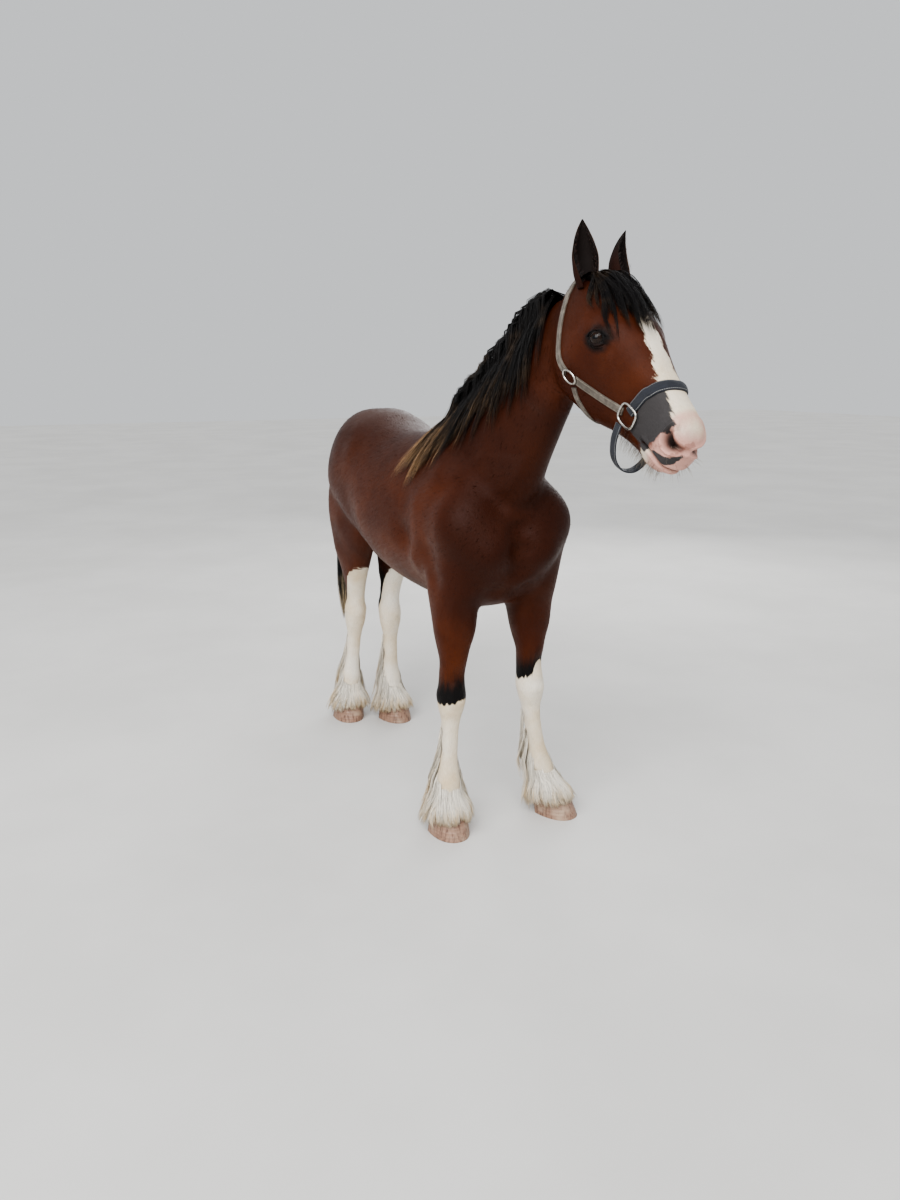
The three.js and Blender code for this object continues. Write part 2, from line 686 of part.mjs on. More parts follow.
// Ears: crescent sections from the base to the tip, [share of the length, width, opening].
const EAR_SHAPE = table([
  [0, 0.62, 2.55], [0.22, 0.94, 2.2], [0.45, 1, 1.8], [0.68, 0.8, 1.5], [0.86, 0.46, 1.25], [1, 0.06, 1.1],
]);

function ear(side) {
  const [base, tip] = [EAR.base, EAR.tip].map(([x, s, t]) => V(side * x, s, t));
  const along = tip.clone().sub(base).normalize();
  const facing = V(side * 0.42, 0.62, 0.66);
  facing.addScaledVector(along, -facing.dot(along)).normalize();
  const across = along.clone().cross(facing);
  const rings = [0, 0.16, 0.32, 0.5, 0.68, 0.84, 0.94, 1].map((k) => {
    const [width, opening] = EAR_SHAPE(k);
    const half = EAR.width * width;
    const radius = half / Math.sin(Math.min(opening, 0.5 * Math.PI));
    const wall = Math.min(EAR.wall, 0.5 * radius);
    const bow = V().copy(facing).multiplyScalar(12 * Math.sin(Math.PI * k));
    const middle = base.clone().lerp(tip, k).sub(bow).addScaledVector(across, -side * 10 * k * k);
    const arc = (angle, r) => middle.clone()
      .addScaledVector(facing, -r * Math.cos(angle) + 0.4 * radius).addScaledVector(across, r * Math.sin(angle));
    return [
      ...steps(-opening, opening, 6).map((angle) => arc(angle, radius)),
      ...steps(opening, -opening, 6).map((angle) => arc(angle, radius - wall)),
    ];
  });
  return toSolid(loft(rings).applyMatrix4(HEAD_FRAME));
}

const earSolids = PER_SIDE.map(({ side }) => ear(side));
PER_SIDE.forEach(({ name }, i) => {
  nodes[`ear_${name}`] = largest(clearOf(earSolids[i], [head]));
  nodes[`eye_${name}`] = eyes[i];
});

// Tail and legs
nodes.tail = largest(clearOf(tail(), [torso]));
LEGS.forEach((leg) => {
  const fore = leg.kind === 'foreleg';
  const rings = (out) => HOOF_STEPS.map((z) => ringOf(HOOF_SIDES, (angle) => hoofPoint(leg, z, angle, out)));
  const horn = toSolid(loft(rings(0))).intersect(coronetPlate(leg, 300, 0));
  const upper = pieceNear(parted, legAxis(leg, fore ? 770 : 840));
  const lower = cut(pieceNear(parted, legAxis(leg, 340)), [coronetPlate(leg, 300, GAP)]);
  nodes[`${leg.name}_upper`] = upper;
  nodes[`${leg.name}_lower`] = largest(join([lower, clearOf(join(feather(leg)), [horn, upper])]));
  nodes[`${leg.name}_hoof`] = horn;
});

// Neck and head with their hair
const neck = clearOf(pieceNear(parted, V(60, -800, 1650)), [head]);
nodes.neck = largest(join([largest(neck), clearOf(mane(), [torso, head])]));
nodes.head = largest(join([head, clearOf(join(forelock()), [nodes.ear_left, nodes.ear_right])]));

// Headcollar: straps lie along the head's skin, through [s, elevation in degrees on one side].
const STRAP = { width: 24, thick: 4.5, sunk: 7 };

function skinFrame(side, s, elevation) {
  const angle = THREE.MathUtils.degToRad(side > 0 ? elevation : 180 - elevation);
  const at = (ds, da) => {
    const p = headLocal(s + ds, angle + da);
    const outward = headLocal(s + ds, angle + da, 10).sub(p).normalize();
    return { p: p.addScaledVector(outward, riseAt(p, FACE)), outward };
  };
  const { p, outward } = at(0, 0);
  const down = at(3, 0).p.sub(at(-3, 0).p);
  const round = at(0, 0.03).p.sub(at(0, -0.03).p);
  const normal = down.cross(round).normalize();
  if (normal.dot(outward) < 0) normal.negate();
  return { p, normal };
}

function strap(stops, width = STRAP.width) {
  const spots = stops.map(([side, s, elevation]) => skinFrame(side, s, elevation));
  const curve = new THREE.CatmullRomCurve3(spots.map(({ p }) => p));
  const count = 2 * (stops.length - 1);
  const rings = steps(0, 1, count).map((u) => {
    const at = u * (stops.length - 1);
    const i = Math.min(Math.floor(at), stops.length - 2);
    const normal = spots[i].normal.clone().lerp(spots[i + 1].normal, at - i).normalize();
    const along = curve.getTangent(u);
    const across = along.clone().cross(normal).normalize().multiplyScalar(width / 2);
    const middle = curve.getPoint(u);
    return [[-1, -STRAP.sunk], [1, -STRAP.sunk], [1, STRAP.thick], [-1, STRAP.thick]].map(
      ([w, n]) => middle.clone().addScaledVector(across, w).addScaledVector(normal, n),
    );
  });
  return toSolid(loft(rings).applyMatrix4(HEAD_FRAME));
}

const both = (rows) => [...rows.map((row) => [1, ...row]), ...rows.slice(0, -1).reverse().map((row) => [-1, ...row])];
const RINGS = { upper: [203, -29], lower: [443, -25] };
const STRAPS = {
  crown_strap: both([[180, -28], [130, -24], [60, -13], [0, 6], [-34, 34], [-44, 62], [-46, 90]]),
  noseband: both([[448, -7], [456, 10], [464, 22], [468, 36], [478, 62], [482, 90]]),
  throat_strap: both([[224, -38], [240, -47], [262, -56], [284, -70], [292, -90]]),
};
PER_SIDE.forEach(({ side, name }) => {
  STRAPS[`cheek_strap_${name}`] = [[228, -30], [290, -31], [355, -30], [414, -27]].map((row) => [side, ...row]);
});
const WIDTH = { noseband: 34, throat_strap: 21 };

// Metal rings lie on the ends of the straps: [half length, half width, tube, corners].
const HARDWARE = { upper: [27, 17, 3.2, 14], lower: [33, 29, 3.6, 8] };

function metalRing(side, kind) {
  const [s, elevation] = RINGS[kind];
  const [long, wide, tube, corners] = HARDWARE[kind];
  const { p, normal } = skinFrame(side, s, elevation);
  const along = V(0, 1, 0).addScaledVector(normal, -normal.y).normalize();
  const frame = new THREE.Matrix4().makeBasis(normal.clone().cross(along).negate(), along, normal);
  frame.setPosition(p.addScaledVector(normal, STRAP.thick + tube + 1));
  const bar = new THREE.TorusGeometry(long, tube, 5, corners).rotateZ(Math.PI / corners);
  const { position } = bar.attributes;
  for (let i = 0; i < position.count; i += 1) {
    const point = V().fromBufferAttribute(position, i);
    const round = V(point.x, point.y, 0).normalize();
    const core = V(round.x * wide, round.y * long, 0);
    core.addScaledVector(round, V(point.x, point.y, 0).length() - long);
    position.setXYZ(i, core.x, core.y, point.z);
  }
  return toSolid(bar.applyMatrix4(frame).applyMatrix4(HEAD_FRAME));
}

// The chin strap hangs free in a loop under the jaw, from one lower ring to the other.
function chinStrap() {
  const half = [[1, 84, 452, -168], [1, 78, 462, -215], [1, 58, 480, -265], [1, 26, 493, -290]];
  const points = [...half, [1, 0, 496, -294], ...half.slice().reverse().map(([, ...rest]) => [-1, ...rest])];
  const curve = new THREE.CatmullRomCurve3(points.map(([side, x, s, t]) => fromHead(side * x, s, t)));
  const across = HEAD_ALONG.clone().addScaledVector(HEAD_UP, 0.3).normalize();
  return toSolid(loft(steps(0, 1, 16).map((u) => {
    const along = curve.getTangentAt(u);
    const wide = across.clone().addScaledVector(along, -across.dot(along)).setLength(14);
    const thick = along.clone().cross(wide).setLength(3);
    return [[-1, -1], [1, -1], [1, 1], [-1, 1]].map(
      ([w, n]) => curve.getPointAt(u).addScaledVector(wide, w).addScaledVector(thick, n),
    );
  })));
}

const headgear = {};
PER_SIDE.forEach(({ side, name }) => {
  headgear[`ring_upper_${name}`] = metalRing(side, 'upper');
  headgear[`ring_lower_${name}`] = metalRing(side, 'lower');
});
headgear.chin_strap = chinStrap();
Object.entries(STRAPS).forEach(([name, stops]) => {
  headgear[name] = strap(stops, WIDTH[name]);
});
const beneath = [nodes.head, nodes.neck, nodes.ear_left, nodes.ear_right];
Object.entries(headgear).forEach(([name, solid]) => {
  nodes[name] = largest(clearOf(solid, beneath));
  beneath.push(nodes[name]);
});

const LOOKS = [
  [/hoof/, 'hoof', 0.5, 0],
  [/ring/, 'metal', 0.35, 1],
  [/noseband|chin/, 'padding', 0.6, 0],
  [/strap/, 'strap', 0.65, 0],
  [/eye/, 'eye', 0.1, 0],
  [/lower/, 'white', 0.8, 0],
  [/tail/, 'black', 0.7, 0],
  [/./, 'bay', 0.6, 0],
];
const horse = new THREE.Group();
Object.entries(nodes).forEach(([name, solid]) => {
  const { vertProperties, triVerts } = solid.getMesh();
  const geometry = new THREE.BufferGeometry()
    .setAttribute('position', new THREE.BufferAttribute(vertProperties, 3))
    .setIndex(new THREE.BufferAttribute(triVerts, 1));
  geometry.computeVertexNormals();
  const [, colour, roughness, metalness] = LOOKS.find(([pattern]) => pattern.test(name));
  const material = new THREE.MeshStandardMaterial({ color: COLOURS[colour], roughness, metalness });
  const mesh = new THREE.Mesh(geometry, material);
  mesh.name = name;
  horse.add(mesh);
});
horse.position.set(-BOX_CENTRE[0], -BOX_CENTRE[1], 0);

export default horse;
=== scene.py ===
import bmesh
import bpy
import numpy as np
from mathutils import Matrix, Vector
from mathutils.bvhtree import BVHTree


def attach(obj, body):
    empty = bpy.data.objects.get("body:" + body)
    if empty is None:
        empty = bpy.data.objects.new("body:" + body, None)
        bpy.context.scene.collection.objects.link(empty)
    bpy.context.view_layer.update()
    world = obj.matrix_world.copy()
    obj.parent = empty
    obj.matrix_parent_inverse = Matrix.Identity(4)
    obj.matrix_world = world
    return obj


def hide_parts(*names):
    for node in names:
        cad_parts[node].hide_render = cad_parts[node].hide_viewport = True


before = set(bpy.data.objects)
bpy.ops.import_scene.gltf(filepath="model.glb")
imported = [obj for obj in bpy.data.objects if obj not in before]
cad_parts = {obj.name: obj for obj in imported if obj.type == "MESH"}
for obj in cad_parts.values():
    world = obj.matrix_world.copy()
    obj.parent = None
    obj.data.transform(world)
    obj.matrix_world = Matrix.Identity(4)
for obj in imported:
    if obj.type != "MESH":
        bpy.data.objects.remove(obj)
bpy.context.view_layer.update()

# A life-size young Clydesdale in a headcollar. Shapes are worked out in millimetres, +Z up and the
# horse facing -Y, and metres() brings them to the frame, whose origin is at BOX_CENTRE.
MM = 0.001
BOX_CENTRE = np.array([65.0, -295.0, 0.0])
# The head has axes of its own from POLL: x to its left, s down the face and t up out of the face.
POLL = np.array([130.0, -1020.0, 1948.0])
HEAD_YAW, HEAD_PITCH, HEAD_ROLL = np.radians([-0.5, 35.5, -8.0])
EYE = {"place": (104, 226, -44), "radius": 25, "up": (0, -0.6, 0.8)}
EAR = {"base": (60, 20, -8), "tip": (74, -112, 139), "width": 40}
SIDES = [(1, "left"), (-1, "right")]
TURN = 2 * np.pi
# Side of the skin's faces on the body, in metres. They are split to half of it on the head.
VOXEL = 0.0075
# The skin lies this far inside the sections, to leave room for the coat.
COAT_ROOM = 1.5
# No long hair hangs lower than this.
LOWEST_HAIR = 3.0
# The depth outside a colour's edge where there is none of it.
FAR_OUTSIDE = -400.0
random = np.random.default_rng(11)


def metres(points):
    return (np.asarray(points, float) - BOX_CENTRE) * MM


def millimetres(points):
    return np.asarray(points, float) / MM + BOX_CENTRE


def unit(v):
    v = np.asarray(v, float)
    return v / np.maximum(np.linalg.norm(v, axis=-1, keepdims=True), 1e-9)


def mix(a, b, k):
    return a + (b - a) * k


def smooth(k):
    k = np.clip(k, 0, 1)
    return k * k * (3 - 2 * k)


def step_up(value, low, high):
    return smooth((value - low) / (high - low))


# Curves and outlines
def table(rows):
    """A smooth curve through rows of (t, value, ...) that never overshoots them."""
    rows = np.array(rows, float)
    t, v = rows[:, 0], rows[:, 1:]
    secant = np.diff(v, axis=0) / np.diff(t)[:, None]
    a, b = secant[:-1], secant[1:]
    inner = np.where(a * b > 0, 2 * a * b / np.where(a + b == 0, 1, a + b), 0)
    slope = np.vstack([secant[:1], inner, secant[-1:]])

    def at(x):
        x = np.asarray(x, float)
        i = np.clip(np.searchsorted(t, x, side="left") - 1, 0, len(t) - 2)
        span = t[i + 1] - t[i]
        u = np.clip((x - t[i]) / span, 0, 1)[..., None]
        bend = u * (1 - u) * span[..., None] * (slope[i] * (1 - u) - slope[i + 1] * u)
        return mix(v[i], v[i + 1], smooth(u)) + bend

    return at


def curve(points):
    """A centripetal curve through points, from a share of its length to a place and a direction."""
    p = np.array(points, float)
    p = np.vstack([2 * p[0] - p[1], p, 2 * p[-1] - p[-2]])
    w = np.linspace(0, 1, 60)[:, None]
    parts = []
    for a, b, c, d in zip(p, p[1:], p[2:], p[3:]):
        t0, t1, t2 = (np.linalg.norm(q) ** 0.5 for q in (b - a, c - b, d - c))
        m1 = ((b - a) / t0 - (c - a) / (t0 + t1) + (c - b) / t1) * t1
        m2 = ((c - b) / t1 - (d - b) / (t1 + t2) + (d - c) / t2) * t1
        cubic = (2 * (b - c) + m1 + m2) * w**3
        parts.append(b + m1 * w + (3 * (c - b) - 2 * m1 - m2) * w**2 + cubic)
    dense = np.vstack(parts)
    dense = dense[np.append(True, np.linalg.norm(np.diff(dense, axis=0), axis=1) > 1e-6)]
    share = np.append(0, np.cumsum(np.linalg.norm(np.diff(dense, axis=0), axis=1)))
    share /= share[-1]
    ahead = unit(np.gradient(dense, axis=0))

    def at(u):
        u = np.clip(u, 0, 1)
        place, along = (
            np.stack([np.interp(u, share, column) for column in rows.T], -1) for rows in (dense, ahead)
        )
        return place, unit(along)

    return at


def oval(angle, half, up, down, upper, lower):
    """A point of an oval whose upper and lower halves have their own height and squareness."""
    c, s = np.cos(angle), np.sin(angle)
    power = 2 / np.where(s > 0, upper, lower)
    x = half * np.sign(c) * np.abs(c) ** power
    return x, np.where(s > 0, up, down) * np.sign(s) * np.abs(s) ** power


# Torso: [y, top, widest, bottom, half width, upper power, lower power].
TORSO = table([
    [-800, 1215, 1135, 1050, 60, 2.0, 2.0], [-775, 1290, 1145, 985, 135, 2.0, 2.0],
    [-730, 1360, 1155, 935, 198, 2.0, 2.1], [-650, 1450, 1165, 892, 232, 2.0, 2.2],
    [-550, 1530, 1175, 864, 238, 1.8, 2.2], [-440, 1556, 1180, 848, 240, 1.6, 2.1],
    [-300, 1522, 1175, 845, 246, 1.7, 2.1], [-120, 1478, 1160, 852, 257, 2.0, 2.1],
    [50, 1470, 1165, 874, 262, 2.1, 2.1], [200, 1494, 1190, 912, 256, 2.2, 2.1],
    [340, 1536, 1225, 966, 248, 2.2, 2.1], [450, 1552, 1240, 1016, 240, 2.2, 2.1],
    [560, 1532, 1235, 1045, 220, 2.2, 2.1], [660, 1482, 1225, 1070, 182, 2.1, 2.1],
    [730, 1405, 1215, 1100, 145, 2.0, 2.0], [765, 1330, 1215, 1150, 75, 2.0, 2.0],
])
TORSO_ENDS = (-800, 765)


def section(shape, at, angle, out):
    """How far across and how high a point of the torso's or the head's outline is."""
    top, widest, bottom, half, upper, lower = np.moveaxis(shape(at), -1, 0)
    across, up = oval(angle, half + out, top - widest + out, widest - bottom + out, upper, lower)
    return across, widest + up


def torso_point(y, angle, out=0.0):
    x, z = section(TORSO, y, angle, out)
    return np.stack([x, y + 0 * x, z], -1)


def both_sides(rows):
    return [[side * row[0], *row[1:]] for row in rows for side in (1, -1)]


# Muscles, bones, folds and veins of the body: [x, y, z, radius, height above the skin].
BODY_RELIEF = both_sides([
    [200, -500, 1110, 110, 18], [205, -520, 1330, 120, 8], [92, -775, 1120, 75, 26],
    [195, 370, 1070, 110, 8], [170, 430, 1430, 130, 8], [165, 620, 1250, 120, 8],
    [215, 270, 1400, 60, 8], [238, 235, 1130, 90, -14], [150, -400, 1500, 80, -10],
    [240, -375, 1110, 60, -12], [212, -455, 1240, 46, 8], [215, -600, 1300, 60, -7],
    [178, -640, 1020, 34, 6], [200, -430, 1060, 46, 8], [150, -700, 1060, 40, -6],
    [225, -350, 1250, 60, -6], [232, 300, 1010, 50, -7], [214, 470, 1250, 90, 6],
    [160, 700, 1180, 40, -6], [190, 520, 1020, 60, 6], [120, 730, 1100, 50, 6],
    [185, 330, 1480, 40, 4], [105, -790, 1090, 60, 12], [150, -700, 960, 55, 10],
    [70, -780, 1270, 50, -12], [222, -560, 1090, 55, -13], [60, -750, 960, 40, -14],
    [20, -800, 1120, 34, -14], [20, -800, 1190, 34, -14], [20, -790, 1040, 34, -12],
    [215, -600, 1000, 50, -14], [196, -640, 1340, 50, -12], [170, -640, 1420, 46, -9],
    [236, -330, 1120, 60, -12], [190, -560, 1430, 60, 8], [225, -430, 1020, 60, 10],
    [60, -420, 1560, 50, 4], [225, 150, 1000, 70, -5],
]) + [
    [-185, -705, 1205, 105, 38], [194, -712, 1200, 110, 44], [0, -800, 1080, 40, -14],
    [0, 480, 1556, 70, -10], [0, 765, 1180, 70, -12],
]

# Neck: [share of the length, half height, half width, upper power].
NECK = table([
    [0, 250, 185, 2.0], [0.25, 250, 152, 1.8], [0.5, 214, 114, 1.6], [0.72, 174, 92, 1.6],
    [0.9, 136, 82, 1.8], [1, 118, 78, 2.0],
])
NECK_SPINE = curve([
    (0, -430, 1225), (6, -592, 1402), (38, -728, 1578), (80, -842, 1732), (114, -952, 1846),
])


def neck_frame(u):
    centre, along = NECK_SPINE(u)
    yaw = HEAD_YAW * np.asarray(u, float)
    side = np.stack([np.cos(yaw), np.sin(yaw), 0 * yaw], -1)
    side = unit(side - along * (side * along).sum(-1, keepdims=True))
    return centre, along, side, np.cross(along, side)


def neck_point(u, angle, out=0.0):
    centre, _, side, crest = neck_frame(u)
    tall, half, upper = np.moveaxis(NECK(u), -1, 0)
    x, z = oval(angle, half + out, tall + out, tall + out, upper, 2.1)
    return centre + side * x[..., None] + crest * z[..., None]


# Head: [s along the face, top, widest, bottom, half width, upper power, lower power].
HEAD = table([
    [-75, 2, -60, -120, 46, 2.0, 2.0], [-35, 26, -72, -190, 78, 2.1, 2.2],
    [25, 44, -82, -246, 98, 2.2, 2.5], [90, 54, -84, -284, 107, 2.3, 2.6],
    [165, 56, -72, -298, 113, 2.4, 2.4], [235, 50, -60, -294, 109, 2.4, 2.2],
    [305, 34, -62, -276, 93, 2.4, 2.1], [385, 15, -68, -246, 76, 2.3, 2.1],
    [455, 0, -76, -226, 66, 2.3, 2.2], [520, -10, -86, -214, 62, 2.3, 2.3],
    [572, -18, -94, -208, 65, 2.3, 2.4], [612, -32, -102, -198, 62, 2.2, 2.3],
    [640, -58, -112, -182, 48, 2.0, 2.0], [652, -88, -122, -158, 24, 2.0, 2.0],
])
HEAD_ENDS = (-75, 652)
# Bones, muscles and folds of the face: [x, s, t, radius, height above the skin].
FACE_RELIEF = both_sides([
    [104, 222, -22, 36, 11], [84, 150, 0, 38, -9], [84, 155, -190, 80, 11],
    [84, 325, -104, 46, 6], [62, 460, -112, 60, -6], [56, 600, -92, 34, 9],
    [62, 210, -300, 50, 8], [74, 250, 6, 22, 4], [92, 285, -66, 16, 4], [60, 330, -70, 30, -3],
    [96, 120, -70, 30, -5], [88, 190, -150, 46, 5], [96, 110, -190, 26, 3], [38, 300, 30, 24, 2],
    [26, 470, -2, 30, 3], [46, 560, -50, 18, -4], [60, 545, -180, 16, 4], [44, 630, -140, 14, 4],
    [66, 575, -130, 20, 3], [98, 262, -44, 14, -4], [100, 190, -50, 14, -3],
]) + [
    [0, 566, -208, 36, 9], [0, 200, -292, 52, -24], [0, 644, -116, 30, 5], [0, 632, -170, 12, 3],
    [0, 625, -60, 16, -3], [0, 600, -214, 18, 5], [0, 655, -105, 34, -3],
]


def head_axes():
    facing = np.array([np.sin(HEAD_YAW), -np.cos(HEAD_YAW), 0])
    level = np.array([np.cos(HEAD_YAW), np.sin(HEAD_YAW), 0])
    along = facing * np.cos(HEAD_PITCH) - np.array([0, 0, np.sin(HEAD_PITCH)])
    lift = np.cross(along, level)
    side = level * np.cos(HEAD_ROLL) + lift * np.sin(HEAD_ROLL)
    return np.array([side, along, np.cross(along, side)])


HEAD_AXES = head_axes()


def from_head(local):
    """From x across, s along the face and t square to it, to the body's own frame."""
    return POLL + np.asarray(local, float) @ HEAD_AXES


def to_head(points):
    return (np.asarray(points, float) - POLL) @ HEAD_AXES.T


def head_local(s, angle, out=0.0):
    x, t = section(HEAD, s, angle, out)
    return np.stack([x, s + 0 * x, t], -1)


# Legs: level sections, [height, forward, backward, half width], about an axis that leans.
FORELEG = table([
    [60, 97, 8, 58], [100, 92, 10, 56], [130, 70, 22, 45], [165, 51, 38, 42], [205, 43, 54, 46],
    [245, 35, 52, 39], [310, 30, 44, 32], [400, 31, 43, 32], [465, 37, 45, 38], [500, 49, 48, 48],
    [545, 57, 49, 54], [585, 53, 49, 51], [630, 48, 53, 48], [710, 58, 64, 55], [800, 74, 86, 69],
    [880, 92, 114, 81], [960, 120, 135, 86], [1050, 148, 142, 84], [1140, 150, 130, 66],
])
HINDLEG = table([
    [60, 97, 10, 56], [100, 90, 12, 54], [135, 68, 24, 44], [170, 52, 40, 42], [215, 44, 56, 46],
    [255, 36, 53, 39], [330, 32, 46, 34], [420, 34, 46, 35], [470, 44, 52, 41], [520, 56, 62, 51],
    [565, 61, 78, 51], [600, 58, 92, 45], [630, 58, 88, 43], [690, 72, 80, 47], [760, 104, 84, 57],
    [840, 158, 94, 69], [920, 220, 110, 79], [990, 258, 124, 86], [1060, 282, 136, 89],
    [1150, 296, 140, 84], [1250, 270, 130, 62],
])
HOOF = table([
    [0, 128, 36, 77], [30, 119, 34, 74], [70, 104, 24, 66], [110, 90, 14, 58], [130, 83, 10, 53],
])
HOOF_TOP = 88


def leg(name, foot, joint, top, turn):
    fore = name.startswith("fore")
    bend, hip = (545, 900) if fore else (590, 1100)
    axis = table([[0, *foot], [bend, *joint], [hip, *top], [hip + 200, *top]])
    shape = FORELEG if fore else HINDLEG
    ends = (60, 1140) if fore else (60, 1250)
    return {"name": name, "fore": fore, "axis": axis, "shape": shape, "ends": ends,
            "out": np.sign(foot[0]), "turn": np.radians(turn)}


LEGS = [
    leg("foreleg_right", (-156, -548), (-156, -590), (-146, -595), 3),
    leg("foreleg_left", (288, -581), (176, -588), (158, -600), 14),
    leg("hindleg_right", (-104, 743), (-70, 672), (-114, 606), 6),
    leg("hindleg_left", (96, 629), (80, 596), (126, 612), 8),
]


def leg_turn(limb, z):
    return limb["turn"] * limb["out"] * np.clip((900 - z) / 500, 0, 1)


def limb_point(limb, shape, z, angle, out, powers):
    """Angle 0 is the leg's left, a quarter turn is its back and three quarters its front."""
    forward, backward, half = np.moveaxis(shape(z), -1, 0)
    x, y = oval(angle, half + out, backward + out, forward + out, *powers)
    turn = leg_turn(limb, z)
    axis = limb["axis"](z)
    return np.stack([
        x * np.cos(turn) - y * np.sin(turn) + axis[..., 0],
        x * np.sin(turn) + y * np.cos(turn) + axis[..., 1],
        z + 0 * x,
    ], -1)


def leg_point(limb, z, angle, out=0.0):
    return limb_point(limb, limb["shape"], z, angle, out, (2.2, 2.2))


def hoof_point(limb, z, angle, out=0.0):
    return limb_point(limb, HOOF, z, angle, out, (2.1, 2.2))


def around_leg(limb, points):
    """Distance from the leg's axis, and the angle round it."""
    z = points[:, 2]
    off = points[:, :2] - limb["axis"](z)
    turn = leg_turn(limb, z)
    x = off[:, 0] * np.cos(turn) + off[:, 1] * np.sin(turn)
    y = off[:, 1] * np.cos(turn) - off[:, 0] * np.sin(turn)
    return np.hypot(x, y), np.arctan2(y, x)


# Tail: [share of the length, half width, half depth].
TAIL_PATH = curve([
    (0, 735, 1405), (0, 800, 1392), (0, 846, 1300), (-4, 860, 1120), (-14, 858, 880),
    (-32, 850, 660), (-56, 842, 470),
])
TAIL = table([
    [0, 34, 30], [0.12, 34, 30], [0.35, 48, 34], [0.6, 58, 36], [0.8, 48, 30], [0.94, 26, 20],
    [1, 14, 12],
])
DOCK = table([[0, 34, 30], [0.12, 32, 28], [0.3, 24, 20], [0.42, 10, 8]])


def tail_point(u, angle, half, deep):
    place, along = TAIL_PATH(u)
    side = unit(np.array([1.0, 0, 0]) - along * along[..., :1])
    outward = np.cross(along, side)
    return place + side * (half * np.cos(angle))[..., None] + outward * (deep * np.sin(angle))[..., None]


# Meshes
def mesh_of(name, points, faces):
    """An object of points in metres and arrays of faces."""
    mesh = bpy.data.meshes.new(name)
    mesh.vertices.add(len(points))
    mesh.vertices.foreach_set("co", np.asarray(points, np.float32).ravel())
    corners = np.concatenate([f.ravel() for f in faces]).astype(np.int32)
    sizes = np.concatenate([np.full(len(f), f.shape[1]) for f in faces])
    mesh.loops.add(len(corners))
    mesh.loops.foreach_set("vertex_index", corners)
    mesh.polygons.add(len(sizes))
    mesh.polygons.foreach_set("loop_start", np.append(0, np.cumsum(sizes)[:-1]).astype(np.int32))
    mesh.update(calc_edges=True)
    obj = bpy.data.objects.new(name, mesh)
    bpy.context.collection.objects.link(obj)
    return obj


def quads_of(rows, sides):
    """Faces between the rings of points of a tube."""
    a = np.arange(rows * sides).reshape(rows, sides)
    b = np.roll(a, -1, axis=1)
    return np.stack([a[:-1], b[:-1], b[1:], a[1:]], -1).reshape(-1, 4)


def loft(rings):
    """Points and faces of a closed surface through rings, of shape (rows, sides, 3)."""
    rows, sides, _ = rings.shape
    quads = quads_of(rows, sides)
    first = np.arange(sides)
    after, last = np.roll(first, -1), (rows - 1) * sides
    near, far = np.full(sides, rows * sides), np.full(sides, rows * sides + 1)
    caps = np.vstack([np.stack([after, first, near], -1), np.stack([last + first, last + after, far], -1)])
    points = np.vstack([rings.reshape(-1, 3), rings[[0, -1]].mean(axis=1)])
    flux = 0
    for p in (points[caps], points[quads], points[quads[:, [0, 2, 3]]]):
        flux += (p[:, 0] * np.cross(p[:, 1], p[:, 2])).sum()
    if flux < 0:
        quads, caps = quads[:, ::-1], caps[:, ::-1]
    return points, [quads, caps]


def grid(rows, sides):
    """The place of each row and the angle of each side, as two tables."""
    return np.meshgrid(rows, np.arange(sides) * TURN / sides, indexing="ij")


def joined(lofts):
    """Several lofts as one set of points and faces."""
    start, points, faces = 0, [], []
    for p, fs in lofts:
        points.append(p)
        faces += [f + start for f in fs]
        start += len(p)
    return np.vstack(points), faces


def rise_at(points, bumps):
    """The height that round bumps and hollows add at each point."""
    rise = np.zeros(len(points))
    for x, y, z, radius, height in bumps:
        away = ((points - (x, y, z)) ** 2).sum(-1) / radius**2
        rise += height * np.exp(-away)
    return rise


def coordinates(mesh):
    co = np.empty(len(mesh.vertices) * 3, np.float32)
    mesh.vertices.foreach_get("co", co)
    return co.reshape(-1, 3).astype(float)


def normals(mesh):
    out = np.empty(len(mesh.vertices) * 3, np.float32)
    mesh.vertex_normals.foreach_get("vector", out)
    return out.reshape(-1, 3).astype(float)


def set_coordinates(mesh, points):
    mesh.vertices.foreach_set("co", points.astype(np.float32).ravel())
    mesh.update()


def relax(mesh, weight, rounds):
    """Moves each point towards the middle of its neighbours, by its weight."""
    edges = np.empty(len(mesh.edges) * 2, np.int32)
    mesh.edges.foreach_get("vertices", edges)
    a, b = edges.reshape(-1, 2).T
    co = coordinates(mesh)
    count = np.bincount(np.append(a, b), minlength=len(co))[:, None]
    for _ in range(rounds):
        total = np.stack([
            np.bincount(a, co[b, i], len(co)) + np.bincount(b, co[a, i], len(co)) for i in range(3)
        ], -1)
        co += (total / np.maximum(count, 1) - co) * weight[:, None]
    set_coordinates(mesh, co)


def attribute(mesh, name, values):
    values = np.asarray(values, np.float32)
    kind, field = ("FLOAT", "value") if values.ndim == 1 else ("FLOAT_VECTOR", "vector")
    mesh.attributes.new(name, kind, "POINT").data.foreach_set(field, values.ravel())


# Skin
def flesh():
    """Closed pieces that overlap: torso, neck, head, the root of the tail and the legs."""
    share, angle = grid(np.linspace(0, 0.42, 40), 24)
    limbs = [loft(leg_point(limb, *grid(np.linspace(*limb["ends"], 130), 48))) for limb in LEGS]
    points, faces = joined([
        loft(torso_point(*grid(np.linspace(*TORSO_ENDS, 120), 96))),
        loft(neck_point(*grid(np.linspace(0, 1, 90), 90))),
        loft(from_head(head_local(*grid(np.linspace(*HEAD_ENDS, 150), 110)))),
        loft(tail_point(share, angle, *np.moveaxis(DOCK(share), -1, 0))),
        *limbs,
    ])
    return mesh_of("skin", metres(points), faces)


